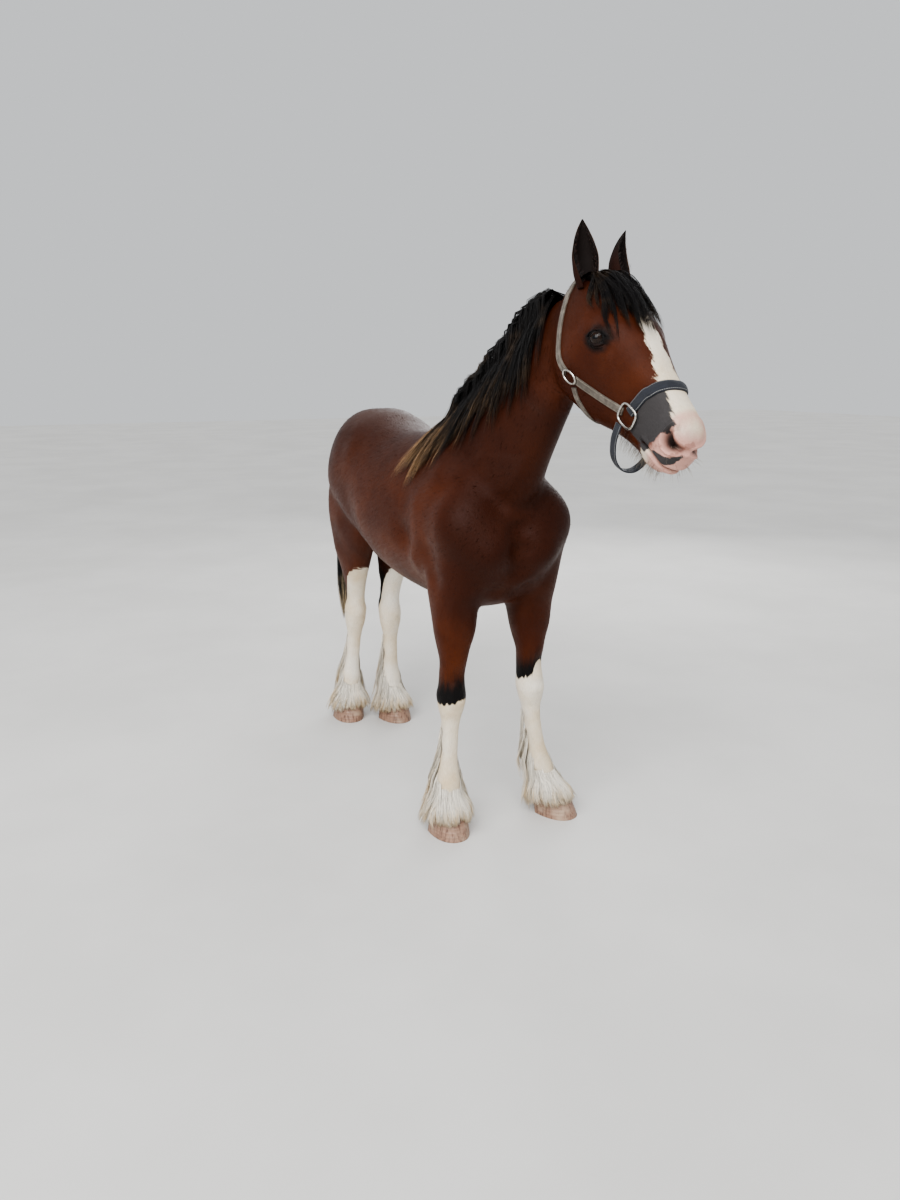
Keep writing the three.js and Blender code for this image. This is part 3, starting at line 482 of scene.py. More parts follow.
def remeshed(obj):
    """Makes one closed surface round all that an object's mesh encloses."""
    obj.modifiers.new("voxels", "REMESH").voxel_size = VOXEL
    graph = bpy.context.evaluated_depsgraph_get()
    old = obj.data
    obj.data = bpy.data.meshes.new_from_object(obj.evaluated_get(graph))
    obj.modifiers.clear()
    bpy.data.meshes.remove(old)
    obj.data.name = obj.name


def refine(obj, inside):
    """Splits in two each edge whose ends are both inside."""
    bm = bmesh.new()
    bm.from_mesh(obj.data)
    chosen = inside(coordinates(obj.data))
    edges = [e for e in bm.edges if chosen[e.verts[0].index] and chosen[e.verts[1].index]]
    bmesh.ops.subdivide_edges(bm, edges=edges, cuts=1, use_grid_fill=True)
    bm.to_mesh(obj.data)
    bm.free()


def on_head(points_m):
    local = to_head(millimetres(points_m))
    return (local[:, 1] > -20) & (local[:, 2] > -345) & (np.abs(local[:, 0]) < 140)


def head_share(points):
    """1 on the head, fading to 0 over the throat."""
    x, s, t = to_head(points).T
    share = step_up(s, -50, 130) * step_up(t, -390, -310)
    return share * (1 - step_up(np.abs(x), 125, 150))


def on_muzzle(points_m):
    return on_head(points_m) & (to_head(millimetres(points_m))[:, 1] > 505)


NOSTRIL = {
    "place": (57, 622, -96), "size": (37, 17, 60), "lean": 0.4, "curl": 0.012, "depth": 27, "rim": 4.5,
}
MOUTH = {"corner": 522, "t": -167, "arch": 10, "run": 110, "depth": 9, "half": 4.5, "lip": 2.5}


def nostril_reach(local):
    """How far a point of the head is from a nostril's middle, 1 at its rim."""
    reach = []
    c, d = np.cos(NOSTRIL["lean"]), np.sin(NOSTRIL["lean"])
    for side in (1, -1):
        x, s, t = (local - np.array(NOSTRIL["place"]) * (side, 1, 1)).T
        long = s * c - t * d
        wide = s * d + t * c - NOSTRIL["curl"] * long**2
        reach.append(np.linalg.norm(np.stack([long, wide, x], -1) / NOSTRIL["size"], axis=1))
    return np.minimum(*reach)


def mouth_gap(local):
    """How far above the line of the mouth a point is, and how much of the line is there."""
    s = local[:, 1] - MOUTH["corner"]
    line = MOUTH["t"] + MOUTH["arch"] * np.sin(np.clip(s / MOUTH["run"], 0, 1) * np.pi)
    return local[:, 2] - line, step_up(s, -10, 8)


def head_relief(points):
    local = to_head(points)
    rise = rise_at(local, FACE_RELIEF)
    reach = nostril_reach(local)
    rise -= NOSTRIL["depth"] * np.exp(-(reach**4))
    rise += NOSTRIL["rim"] * np.exp(-(((reach - 1.35) / 0.3) ** 2))
    gap, there = mouth_gap(local)
    rise -= there * MOUTH["depth"] * np.exp(-((gap / MOUTH["half"]) ** 2))
    rise += there * MOUTH["lip"] * np.exp(-(((np.abs(gap) - 13) / 7) ** 2))
    return rise * on_head(metres(points)) * step_up(local[:, 1], -60, 20)


def both_flanks(rows):
    """Adds the mirror image of each row that isn't on the leg's front or back line."""
    return rows + [(0.5 - turns, *rest) for turns, *rest in rows if turns % 0.5 != 0.25]


# Bones and tendons of the legs: [turns round the leg, height, radius, height above the skin].
FORE_RELIEF = both_flanks([
    (0.75, 590, 26, 5), (0.70, 540, 20, 5), (0.02, 560, 26, 5), (0.25, 590, 22, 7), (0.11, 400, 26, -5),
    (0.11, 330, 26, -5), (0.25, 380, 24, 4), (0.25, 310, 24, 4), (0.05, 205, 22, 5), (0.75, 700, 46, 6),
    (0.95, 800, 60, 8), (0.75, 640, 30, -4), (0.12, 690, 40, -6),
])
HIND_RELIEF = both_flanks([
    (0.75, 560, 28, 5), (0.0, 580, 26, 6), (0.25, 640, 22, 7), (0.12, 640, 24, -9), (0.12, 700, 30, -9),
    (0.11, 420, 26, -5), (0.11, 340, 26, -5), (0.25, 390, 24, 4), (0.05, 215, 22, 5), (0.0, 880, 60, 7),
    (0.25, 820, 40, -5),
])


def leg_relief(limb):
    rows = FORE_RELIEF if limb["fore"] else HIND_RELIEF
    turns, heights = np.array([row[:2] for row in rows], float).T
    places = leg_point(limb, heights, turns * TURN)
    return [(*place, *row[2:]) for place, row in zip(places, rows)]


def make_skin():
    obj = flesh()
    remeshed(obj)
    co = millimetres(coordinates(obj.data))
    joins = step_up(co[:, 2], 780, 900) * (1 - step_up(co[:, 2], 1330, 1500))
    joins = np.maximum(joins, step_up(co[:, 1], 680, 740) * (co[:, 2] > 1250))
    throat = ((co - from_head([0, -20, -200])) ** 2).sum(-1) < 200**2
    head = on_head(metres(co)) & ~throat
    relax(obj.data, np.where(head, 0.12, np.where(throat, 0.6, 0.2 + 0.45 * joins)), 16)
    refine(obj, on_head)
    refine(obj, on_muzzle)
    relax(obj.data, np.full(len(obj.data.vertices), 0.35), 3)
    co = millimetres(coordinates(obj.data))
    rise = rise_at(co, BODY_RELIEF)
    rise *= step_up(co[:, 2], 800, 900) * (co[:, 1] > -850)
    for limb in LEGS:
        rise += rise_at(co, leg_relief(limb))
    # Painted shade for the nostrils and the line of the mouth.
    attribute(obj.data, "hollow_shade", hollow_shade_share(co))
    rise = rise * ~on_head(metres(co)) + head_relief(co) - COAT_ROOM
    set_coordinates(obj.data, metres(co + normals(obj.data) * rise[:, None]))
    relax(obj.data, np.where(on_head(coordinates(obj.data)), 0.25, 0.3), 2)
    return obj


# Markings: how far inside a colour's edge each point is, below 0 outside it
# Blaze: [s, half width].
BLAZE = table([
    [100, -30], [136, -4], [180, 18], [300, 27], [400, 34], [470, 42], [520, 50], [560, 58],
    [610, 80], [660, 120],
])


def leg_edges(points):
    """How far each point is inside the white stockings, and inside the black above them."""
    white = np.full(len(points), FAR_OUTSIDE)
    black = np.full(len(points), FAR_OUTSIDE)
    nearest = np.full(len(points), 1e9)
    for limb in LEGS:
        away, angle = around_leg(limb, points)
        mine = (away < nearest) & (away < 330)
        nearest = np.where(mine, away, nearest)
        z, front = points[:, 2], 0.5 - 0.5 * np.sin(angle)
        if limb["fore"]:
            low, tall = (532, 20) if limb["out"] < 0 else (585, 75)
            edge = low + tall * np.exp(-(((angle + 1.2) / 0.7) ** 2))
            dark = 600 + 0.5 * (edge - 530) - z
        else:
            edge = 560 + 250 * front**1.3
            dark = np.where(limb["out"] > 0, 760, 640) - z
        white = np.where(mine, edge - z, white)
        black = np.where(mine, dark, black)
    return white, black


def head_edges(local):
    """How far each point is inside the white, the black round the eyes, the pink and the slate."""
    x, s, t = local.T
    blaze = np.minimum(BLAZE(s)[:, 0] - np.abs(x + 4), t + 88)
    muzzle = np.minimum(s - 588 + 0.2 * t, 60)
    chin = np.minimum(s - 535, -150 - t)
    white = np.maximum.reduce([blaze, muzzle, chin])
    off_eye = np.abs(x) - EYE["place"][0], s - EYE["place"][1], t - EYE["place"][2]
    _, lean, lift = EYE["up"]
    ahead, above = lift * off_eye[1] - lean * off_eye[2], lift * off_eye[2] + lean * off_eye[1]
    black = 3 * (EYE["radius"] + 1 - np.sqrt((ahead / 1.4) ** 2 + above**2 + off_eye[0] ** 2))
    pink = np.minimum(s - 566 + 0.25 * x, -55 - t)
    pink = np.maximum.reduce([pink, s - 648, 34 - 18 * nostril_reach(local)])
    cheek = np.minimum.reduce([-40 - x - 0.1 * (s - 520), s - 462, 590 + 0.35 * (t + 90) - s, t + 178])
    lip = curve([(-62, 600, -150), (-48, 634, -142), (-36, 652, -130), (-20, 664, -104)])
    spots = [((60, 540, -140), 24)] + [(place, 13) for place in lip(np.linspace(0, 1, 25))[0]]
    slate = [radius - np.linalg.norm(local - place, axis=1) for place, radius in spots]
    return white, black, pink, np.maximum.reduce([cheek, *slate])


def lie_of(points):
    """The way the coat lies, and the place squeezed along it, in which noise makes streaks."""
    on = head_share(points)
    low = 1 - step_up(points[:, 2], 760, 960)
    up_neck = step_up(points[:, 1], -560, -720) * step_up(points[:, 2], 1300, 1450) * (1 - on)
    lie = np.zeros((len(points), 3)) + (0, 0.92, -0.4)
    lie = mix(lie, np.array([0, 0.55, -0.83]), up_neck[:, None])
    lie = mix(lie, np.array([0, 0.05, -1.0]), low[:, None])
    lie = unit(mix(lie, HEAD_AXES[1] + 0.15 * HEAD_AXES[2], on[:, None]))
    flow = metres(points)
    return lie, flow - 0.86 * lie * (flow * lie).sum(-1, keepdims=True)


def unwrap(points):
    """A place on a flat map of the skin, where torso, neck, head and each leg have their own box."""
    y = points[:, 1]
    widest = TORSO(np.clip(y, *TORSO_ENDS))[:, 1]
    turn = np.arctan2(points[:, 0], points[:, 2] - widest) / TURN + 0.5
    u, v = mix(0.02, 0.60, (y + 850) / 1700), mix(0.02, 0.40, turn)
    neck = (y < -560) & (points[:, 2] > 1300)
    tilt = np.arctan2(points[:, 0] - 50, points[:, 2] - 1600 + 0.9 * (y + 760)) / TURN + 0.5
    u = np.where(neck, mix(0.64, 0.98, (points[:, 2] - 1250) / 800), u)
    v = np.where(neck, mix(0.02, 0.40, tilt), v)
    local = to_head(points)
    head = on_head(metres(points))
    around = np.arctan2(local[:, 0], local[:, 2] + 110) / TURN + 0.5
    u = np.where(head, mix(0.02, 0.48, (local[:, 1] + 80) / 740), u)
    v = np.where(head, mix(0.44, 0.68, around), v)
    for i, limb in enumerate(LEGS):
        away, angle = around_leg(limb, points)
        low = (points[:, 2] < 860) & (away < 260)
        u = np.where(low, mix(0.02, 0.96, points[:, 2] / 900), u)
        v = np.where(low, mix(0.72 + 0.065 * i, 0.78 + 0.065 * i, angle / TURN + 0.5), v)
    return np.clip(np.stack([u, v], -1), 0.005, 0.99)


def hollow_shade_share(points):
    """Painted shade: 1 in a nostril and along the line of the mouth."""
    local = to_head(points)
    gap, there = mouth_gap(local)
    inside = np.exp(-((nostril_reach(local) / 0.98) ** 6))
    return np.maximum(inside, there * np.exp(-((gap / 3.2) ** 2))) * on_head(metres(points))


def marked(points):
    """All that the coat's material reads but the painted shade of the hollows, with the distances in
    metres.
    """
    local = to_head(points)
    head = on_head(metres(points))
    top = np.maximum(step_up(points[:, 2], 1150, 1500), step_up(points[:, 1], -600, -760) * 0.9)
    top = mix(top, 0.25, head_share(points))
    # Painted sheen: a whitish gloss of light on the croup, painted into the coat's colour.
    croup = np.exp(-(((points[:, 1] - 430) / 260) ** 2)) * step_up(points[:, 2], 1430, 1540)
    elsewhere = (*leg_edges(points), FAR_OUTSIDE, FAR_OUTSIDE)
    edges = zip(("white", "black", "pink", "slate"), head_edges(local), elsewhere)
    return {
        **{key: np.where(head, face, body) * MM for key, face, body in edges},
        "top": top * step_up(points[:, 2], 700, 1000),
        "croup_sheen": croup * ~head,
        "flow": lie_of(points)[1],
    }


def mark(obj, points):
    for key, values in marked(points).items():
        attribute(obj.data, key, values)


# Materials
class Graph:
    """A new material, and nodes that are added to it and linked."""

    def __init__(self, name, **sockets):
        self.made = bpy.data.materials.new(name)
        self.made.use_nodes = True
        self.tree = self.made.node_tree
        self.shader = self.tree.nodes["Principled BSDF"]
        for socket, value in sockets.items():
            title = socket.replace("_", " ").title().replace("Ior", "IOR")
            self.shader.inputs[title].default_value = value

    def put(self, socket, value):
        if isinstance(value, bpy.types.NodeSocket):
            self.tree.links.new(value, socket)
        else:
            socket.default_value = value

    def node(self, kind, inputs, out=0, **settings):
        """Adds a node. Its inputs are given by name or number, and one output comes back."""
        node = self.tree.nodes.new("ShaderNode" + kind)
        for key, value in settings.items():
            setattr(node, key, value)
        for key, value in inputs.items():
            self.put(node.inputs[key], value)
        return node.outputs[out]

    def math(self, operation, *values):
        return self.node("Math", dict(enumerate(values)), operation=operation)

    def line(self, value, times, plus):
        return self.math("MULTIPLY_ADD", value, times, plus)

    def number(self, name):
        return self.node("Attribute", {}, attribute_name=name, out=2)

    def vector(self, name):
        return self.node("Attribute", {}, attribute_name=name, out=1)

    def place(self, scale=(1, 1, 1)):
        """The place in the object, stretched along its axes."""
        place = self.node("TexCoord", {}, out=3)
        return self.node("VectorMath", {0: place, 1: scale}, operation="MULTIPLY")

    def noise(self, scale, vector=None, detail=4.0, rough=0.6):
        place = vector or self.place()
        inputs = {"Scale": scale, "Detail": detail, "Roughness": rough, "Vector": place}
        return self.node("TexNoise", inputs)

    def between(self, value, low, high):
        return self.node("MapRange", {0: value, 1: low, 2: high}, interpolation_type="SMOOTHSTEP")

    def blend(self, share, a, b, kind="MIX"):
        return self.node("Mix", {0: share, 6: a, 7: b}, out=2, data_type="RGBA", blend_type=kind)

    def toned(self, colour, tone):
        return self.blend(1.0, colour, tone, "MULTIPLY")

    def bump(self, height, distance, strength=1.0, under=None):
        inputs = {"Strength": strength, "Distance": distance, "Height": height}
        if under is not None:
            inputs["Normal"] = under
        return self.node("Bump", inputs)

    def finish(self, colour, rough=None, normal=None):
        for socket, value in (("Base Color", colour), ("Roughness", rough), ("Normal", normal)):
            if value is not None:
                self.put(self.shader.inputs[socket], value)
        return self.made


BAY = (0.050, 0.0115, 0.0042, 1)
BAY_DARK = (0.021, 0.0058, 0.003, 1)
BAY_LIGHT = (0.088, 0.022, 0.007, 1)
BLACK = (0.006, 0.005, 0.005, 1)
WHITE = (0.78, 0.73, 0.64, 1)
CREAM = (0.62, 0.48, 0.30, 1)
PINK = (0.60, 0.34, 0.28, 1)
PINK_DARK = (0.42, 0.22, 0.18, 1)
TAN = (0.28, 0.17, 0.09, 1)
SLATE = (0.05, 0.046, 0.046, 1)
# Painted sheen: the pale colour that the croup's gloss is painted with.
SHEEN_PAINT = (0.30, 0.24, 0.22, 1)
# Painted shade: the near black put into the nostrils and the mouth line.
HOLLOW_SHADE = (0.012, 0.006, 0.005, 1)
DARK_SKIN = (0.012, 0.008, 0.007, 1)


def coat_colour(g):
    """The marked coat: bay, black points, white and bare pink skin, with ragged edges, a painted sheen on
    the croup and painted shade in the nostrils and the mouth line.
    """
    ragged = g.math("SUBTRACT", g.noise(34.0, g.vector("flow"), 6.0, 0.7), 0.5)
    cloud = g.noise(3.2, detail=5.0)
    colour = g.blend(g.between(cloud, 0.35, 0.7), BAY, BAY_LIGHT)
    colour = g.blend(g.math("MULTIPLY", g.number("top"), 0.7), colour, BAY_DARK)
    # Painted sheen: the croup is mixed a little towards a pale colour.
    colour = g.blend(g.math("MULTIPLY", g.number("croup_sheen"), 0.12), colour, SHEEN_PAINT)
    pale = g.blend(g.between(cloud, 0.3, 0.75), WHITE, CREAM)
    bare = g.blend(g.between(g.noise(22.0, detail=6.0), 0.56, 0.62), PINK, PINK_DARK)
    markings = [
        ("black", 0.14, (-0.07, 0.02), BLACK), ("white", 0.075, (-0.003, 0.004), pale),
        ("pink", 0.03, (-0.03, 0.02), bare), ("slate", 0.045, (-0.003, 0.003), SLATE),
    ]
    for name, raggedness, edge, shade in markings:
        inside = g.line(ragged, raggedness, g.number(name))
        colour = g.blend(g.between(inside, *edge), colour, shade)
    # Painted shade: the nostrils and the mouth line are darkened to near black.
    colour = g.blend(g.number("hollow_shade"), colour, HOLLOW_SHADE)
    streak = g.noise(420.0, g.vector("flow"), 3.0, 0.6)
    return g.blend(0.55, colour, g.toned(colour, g.line(streak, 0.9, 0.55)))


def coat_material():
    g = Graph("coat", specular_ior_level=0.12)
    flow = g.vector("flow")
    fur = g.bump(g.noise(650.0, flow, 2.0, 0.5), 0.0012, 0.8)
    fur = g.bump(g.noise(150.0, flow, 3.0, 0.6), 0.003, 0.35, fur)
    fur = g.bump(g.noise(5.0, detail=2.0), 0.02, 0.12, fur)
    return g.finish(coat_colour(g), g.line(g.noise(90.0, flow), 0.3, 0.28), fur)


def hair_material(name, root, tip, start, end, **sockets):
    """Hair that turns from its root's colour to its tip's between two shares of its length."""
    g = Graph(name, **sockets)
    along = g.line(g.number("shade"), 0.3, g.number("along"))
    along = g.math("ADD", along, g.number("blond"))
    colour = g.blend(g.between(along, start, end), root, tip)
    colour = g.toned(colour, g.line(g.number("shade"), 0.6, 0.75))
    patch = g.noise(9.0, detail=5.0)
    colour = g.blend(g.between(patch, 0.5, 0.75), colour, g.blend(0.2, colour, tip))
    return g.finish(colour, g.line(patch, 0.2, 0.38))


def horn_material():
    g = Graph("hoof_horn", ior=1.5)
    streak = g.noise(130.0, g.place((1, 1, 0.06)), 5.0, 0.65)
    colour = g.blend(g.between(streak, 0.42, 0.68), (0.33, 0.20, 0.14, 1), (0.12, 0.065, 0.045, 1))
    colour = g.blend(g.between(g.noise(16.0), 0.45, 0.7), colour, (0.42, 0.30, 0.22, 1))
    rings = g.bump(g.noise(170.0, g.place((0.05, 0.05, 1)), 3.0), 0.0018, 0.8)
    return g.finish(colour, g.line(streak, 0.3, 0.32), g.bump(streak, 0.001, 0.6, rings))


def eye_material():
    g = Graph("eye_ball", roughness=0.05, ior=1.36)
    cloud = g.between(g.noise(220.0), 0.35, 0.7)
    iris = g.blend(cloud, (0.007, 0.003, 0.002, 1), (0.022, 0.010, 0.005, 1))
    colour = g.blend(g.between(g.number("pupil"), 0.9, 1.1), (0.002, 0.002, 0.003, 1), iris)
    return g.finish(g.blend(g.between(g.number("rim"), 0.92, 1.08), colour, DARK_SKIN))


def strap_material(name, base, worn, thread):
    """Woven strap with worn places and a line of stitches near each edge."""
    g = Graph(name, sheen_weight=0.1, ior=1.45)
    wear = g.between(g.noise(45.0, detail=8.0, rough=0.7), 0.42, 0.72)
    off_seam = g.math("ABSOLUTE", g.math("SUBTRACT", g.math("ABSOLUTE", g.number("across")), 0.78))
    seam = g.math("SUBTRACT", 1.0, g.between(off_seam, 0.035, 0.06))
    dashes = g.between(g.math("FRACT", g.math("MULTIPLY", g.number("length"), 190.0)), 0.25, 0.35)
    stitched = g.math("MULTIPLY", seam, dashes)
    colour = g.blend(stitched, g.blend(wear, base, worn), thread)
    weave = {0: g.vector("weave"), 1: 620.0, 2: 0.6}
    normal = g.bump(g.node("TexWave", weave, bands_direction="DIAGONAL", out=1), 0.0005, 0.5)
    normal = g.bump(g.math("ADD", g.noise(160.0, detail=6.0), stitched), 0.0012, 0.6, normal)
    return g.finish(colour, g.line(wear, 0.25, 0.5), normal)


def metal_material():
    g = Graph("worn_metal", metallic=1.0)
    grime = g.between(g.noise(120.0, detail=7.0, rough=0.7), 0.48, 0.68)
    colour = g.blend(grime, (0.62, 0.60, 0.56, 1), (0.26, 0.22, 0.17, 1))
    return g.finish(colour, g.line(grime, 0.35, 0.2), g.bump(g.noise(300.0), 0.0003, 0.6))


def dress(obj, made, nodes):
    """Gives a piece its material, sets it on the frame and takes the place of its nodes."""
    obj.data.materials.append(made)
    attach(obj, "root")
    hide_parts(*nodes)


# Hair: thin closed strands of three sides
# Strand: [share of the length, share of the full thickness].
STRAND = table([[0, 0.6], [0.15, 1.0], [0.6, 0.9], [0.85, 0.5], [1, 0.12]])
# Side of a strand's patch on the map of the skin.
PATCH = 0.003


def strands(name, paths, half, outward, roots, **extra):
    """Strands along paths of shape (count, steps, 3), with their flat side facing outward."""
    count, steps, _ = paths.shape
    share = np.linspace(0, 1, steps)
    along = unit(np.gradient(paths, axis=1))
    up = unit(outward - along * (outward * along).sum(-1, keepdims=True))
    wide = np.cross(along, up)
    size = half[:, None, None] * STRAND(share)[None, :, :]
    rings = np.stack([paths + wide * size, paths + up * size * 0.45, paths - wide * size], 2)[:, :-1]
    points = np.concatenate([rings.reshape(count, -1, 3), paths[:, -1:]], 1)
    each = points.shape[1]
    quads = quads_of(steps - 1, 3)
    tris = np.array([[0, 1, 3], [1, 2, 3], [2, 0, 3]]) + (steps - 2) * 3
    tris = np.vstack([tris, [[2, 1, 0]]])
    start = (np.arange(count) * each)[:, None, None]
    faces = [(quads[None] + start).reshape(-1, 4), (tris[None] + start).reshape(-1, 3)]
    obj = mesh_of(name, metres(points.reshape(-1, 3)), faces)
    shares = np.append(np.repeat(share[:-1], 3), 1.0)
    attribute(obj.data, "along", np.tile(shares, count))
    attribute(obj.data, "shade", np.repeat(random.random(count), each))
    for key, values in extra.items():
        attribute(obj.data, key, np.repeat(values, each, axis=0))
    across = np.append(np.tile([0.5, 0.0, -0.5], steps - 1), 0.0)
    corner = np.stack([across, shares - 0.5], -1) * PATCH
    flat = (unwrap(roots)[:, None] + corner[None]).reshape(-1, 2)
    layer = obj.data.uv_layers.new(name="OFBake")
    index = np.empty(len(obj.data.loops), np.int32)
    obj.data.loops.foreach_get("vertex_index", index)
    layer.data.foreach_set("uv", flat[index].astype(np.float32).ravel())
    return obj


def combed(centre, across, outward, hairs, spread, depth, wave):
    """Hairs of each lock: they start apart and draw together towards its tip."""
    locks, steps, _ = centre.shape
    share = np.linspace(0, 1, steps)[None, None, :, None]
    a = random.uniform(-1, 1, (locks, hairs, 1, 1))
    b = random.uniform(0, 1, (locks, hairs, 1, 1))
    phase = random.uniform(0, TURN, (locks, 1, 1, 1)) + random.normal(0, 0.5, (locks, hairs, 1, 1))
    gather = mix(1.0, 0.3, smooth(share)) + 0.25 * share * random.random((locks, hairs, 1, 1))
    sway = wave * share * np.sin(phase + 5.5 * share)
    side = a * spread[:, None, None, None] * gather + sway
    paths = centre[:, None] + across[:, None] * side
    paths = paths + outward[:, None] * b * depth * mix(0.35, 1.0, np.sin(np.pi * share * 0.8))
    cut = 1 - 0.28 * random.random((locks, hairs, 1, 1)) ** 2
    root = paths[:, :, :1]
    paths = root + (paths - root) * mix(1.0, cut, share)
    flat = np.broadcast_to(outward[:, None], paths.shape)
    return paths.reshape(-1, steps, 3), flat.reshape(-1, steps, 3)


def hair(name, centre, outward, hairs, spread, combing, thickness, blond, variety=0.0):
    """Locks of hair along their middle lines, clear of the floor. Above 0, blond makes tips paler."""
    across = unit(np.cross(unit(np.gradient(centre, axis=1)), outward))
    paths, flat = combed(centre, across, outward, hairs, spread, *combing)
    paths[..., 2] = np.maximum(paths[..., 2], LOWEST_HAIR)
    half = random.uniform(*thickness, len(paths))
    if variety:
        blond = blond + random.normal(0, variety, len(centre))
    blond = np.repeat(np.broadcast_to(blond, len(centre)), hairs)
    return strands(name, paths, half, flat, paths[:, 0], blond=blond)


def beside_neck(points, margin):
    """Pushes points out to the right of the neck where they are inside it."""
    stations = np.linspace(0, 1, 61)
    centre, along, side, crest = neck_frame(stations)
    off = points[:, None] - centre[None]
    away = np.abs((off * along[None]).sum(-1))
    near = away.argmin(1)
    pick = np.arange(len(points))
    off, side, crest = off[pick, near], side[near], crest[near]
    tall, half, upper = NECK(stations[near]).T
    x, z = (off * side).sum(-1), (off * crest).sum(-1)
    level = np.clip(np.abs(z) / (tall + margin), 0, 1)
    power = np.where(z > 0, upper, 2.1)
    edge = -(half + margin) * (1 - level**power) ** (1 / power)
    inside = (away[pick, near] < 25) & (level < 1) & (x > edge)
    return points + side * np.where(inside, edge - x, 0)[:, None]


def beside_torso(points, margin):
    """Pushes points out to the right of the torso where they are inside it."""
    top, widest, bottom, half, upper, lower = TORSO(points[:, 1]).T
    z = points[:, 2] - widest
    power = np.where(z > 0, upper, lower)
    level = np.clip(np.abs(z) / (np.where(z > 0, top - widest, widest - bottom) + margin), 0, 1)
    edge = -(half + margin) * (1 - level**power) ** (1 / power)
    inside = (points[:, 1] > TORSO_ENDS[0]) & (level < 1) & (points[:, 0] > edge)
    return points + np.where(inside, edge - points[:, 0], 0)[:, None] * np.array([1, 0, 0])


MANE = {"from": 0.33, "to": 1.0, "locks": 228, "hairs": 18, "steps": 9}


def make_mane():
    """Locks from the crest, down the right side of the neck."""
    count, steps = MANE["locks"], MANE["steps"]
    share = (np.arange(count) + random.random(count)) / count
    u = mix(MANE["from"], MANE["to"], share)
    length = mix(430, 520, share) * random.uniform(0.5, 1.1, count)
    margin = random.uniform(3, 20, count)
    _, _, side, crest = neck_frame(u)
    lean = random.normal(0, 0.06, count)
    here = neck_point(u, 0.25 * TURN + lean, -6)
    path, step = [here], (length / (steps - 1))[:, None]
    start = unit(crest * 0.45 - side * 0.9 + random.normal(0, 0.12, (count, 3)))
    sway = mix(0.42, 0.16, share) + random.normal(0, 0.18, count)
    down = unit(np.stack([np.zeros(count), sway, -np.ones(count)], -1))
    for k in range(steps - 1):
        here = here + mix(start, down, smooth(k / 2.0)) * step
        here = beside_torso(beside_neck(here, margin), margin)
        path.append(here)
    centre = np.stack(path, 1)
    outward = unit(np.broadcast_to(-side[:, None] + 0.3 * crest[:, None], centre.shape))
    spread = random.uniform(6, 15, count)
    blond = mix(0.42, -0.12, step_up(share, 0.0, 0.4))
    return hair("mane", centre, outward, MANE["hairs"], spread, (9.0, 7.0), (0.7, 1.5), blond, 0.06)


def on_brow(x, s, out):
    """A place of the upper face, in the head's axes."""
    top, widest, _, half, power, _ = np.moveaxis(HEAD(s), -1, 0)
    share = np.clip(np.abs(x) / half, 0, 0.95)
    return np.stack([x, s, widest + (top - widest) * (1 - share**power) ** (1 / power) + out], -1)


def make_forelock():
    locks, hairs, steps = 64, 30, 9
    k = np.linspace(0, 1, steps)[None]
    root = random.uniform(-62, 42, locks)[:, None]
    tip = root * 1.3 - 22 + random.normal(0, 13, (locks, 1))
    reach = (330 - 1.1 * np.abs(root + 14)) * random.uniform(0.5, 1.06, (locks, 1))
    x, s = mix(root, tip, smooth(k)), mix(-20.0, reach, k)
    lift = random.uniform(3, 20, (locks, 1))
    out = mix(-4.0, lift, step_up(k, 0, 0.2)) + 12 * np.sin(np.pi * k) * random.random((locks, 1))
    centre = from_head(on_brow(x, s, out))
    outward = np.broadcast_to(HEAD_AXES[2], centre.shape)
    spread = random.uniform(6, 13, locks)
    return hair("forelock", centre, outward, hairs, spread, (9.0, 7.0), (0.6, 1.2), -0.22)


def make_tail():
    locks, hairs, steps = 92, 40, 10
    k = np.linspace(0, 1, steps)[None]
    first = mix(0.03, 0.42, np.linspace(0, 1, locks) ** 0.8)[:, None]
    last = np.minimum(1.0, first + random.uniform(0.5, 0.9, (locks, 1)))
    u = mix(first, last, k)
    angle = random.uniform(0, TURN, locks)[:, None] + 0.25 * k * random.normal(0, 1, (locks, 1))
    wide, deep = np.moveaxis(TAIL(u), -1, 0)
    bulge = random.uniform(2, 24, (locks, 1))
    out = mix(-6.0, 0.0, step_up(k, 0, 0.15)) + bulge * np.sin(0.8 * np.pi * k)
    centre = tail_point(u, angle, wide + out, deep + out)
    outward = unit(centre - TAIL_PATH(u)[0] + np.array([0, 0, 0.001]))
    spread = random.uniform(9, 20, locks)
    return hair("tail", centre, outward, hairs, spread, (8.0, 9.0), (0.8, 1.7), -0.05, 0.12)


def make_feather(limb):
    """Silky hair from the back of the cannon and all round the fetlock, down over the hoof."""
    locks, hairs, steps = 160, 24, 7
    k = np.linspace(0, 1, steps)[None]
    angle = random.uniform(0, TURN, locks)
    back = (0.5 + 0.5 * np.sin(angle)) ** 1.2
    high = mix(185, 470, back**2)
    start = mix(112, high, random.random(locks) ** 0.62)
    low = mix(62, 6, back**0.7) + random.uniform(0, 22, locks)
    end = np.maximum(low, start - mix(160, 300, random.random(locks)))
    reach = mix(20, 66, back) * random.uniform(0.5, 1.0, locks) * np.clip((start - 60) / 120, 0.5, 1)
    reach = reach * np.clip((300 - end) / 200, 0.45, 1)
    z = mix(start[:, None], end[:, None], k)
    swing = angle[:, None] + 0.16 * k * random.normal(0, 1, (locks, 1))
    out = mix(-3.0, reach[:, None], smooth(k) ** 0.8)
    on_horn = step_up(z, 150, 95)[..., None]
    centre = mix(leg_point(limb, np.maximum(z, 100), swing, out), hoof_point(limb, z, swing, out), on_horn)
    centre[..., 2] = z
    axis = np.concatenate([limb["axis"](z), z[..., None]], -1)
    outward = unit((centre - axis) * (1, 1, 0) + (0, 0, 0.15))
    spread = mix(9, 17, random.random(locks))
    name = "feather_" + limb["name"]
    return hair(name, centre, outward, hairs, spread, (7.0, 6.0), (0.6, 1.3), 0.0, 0.12)


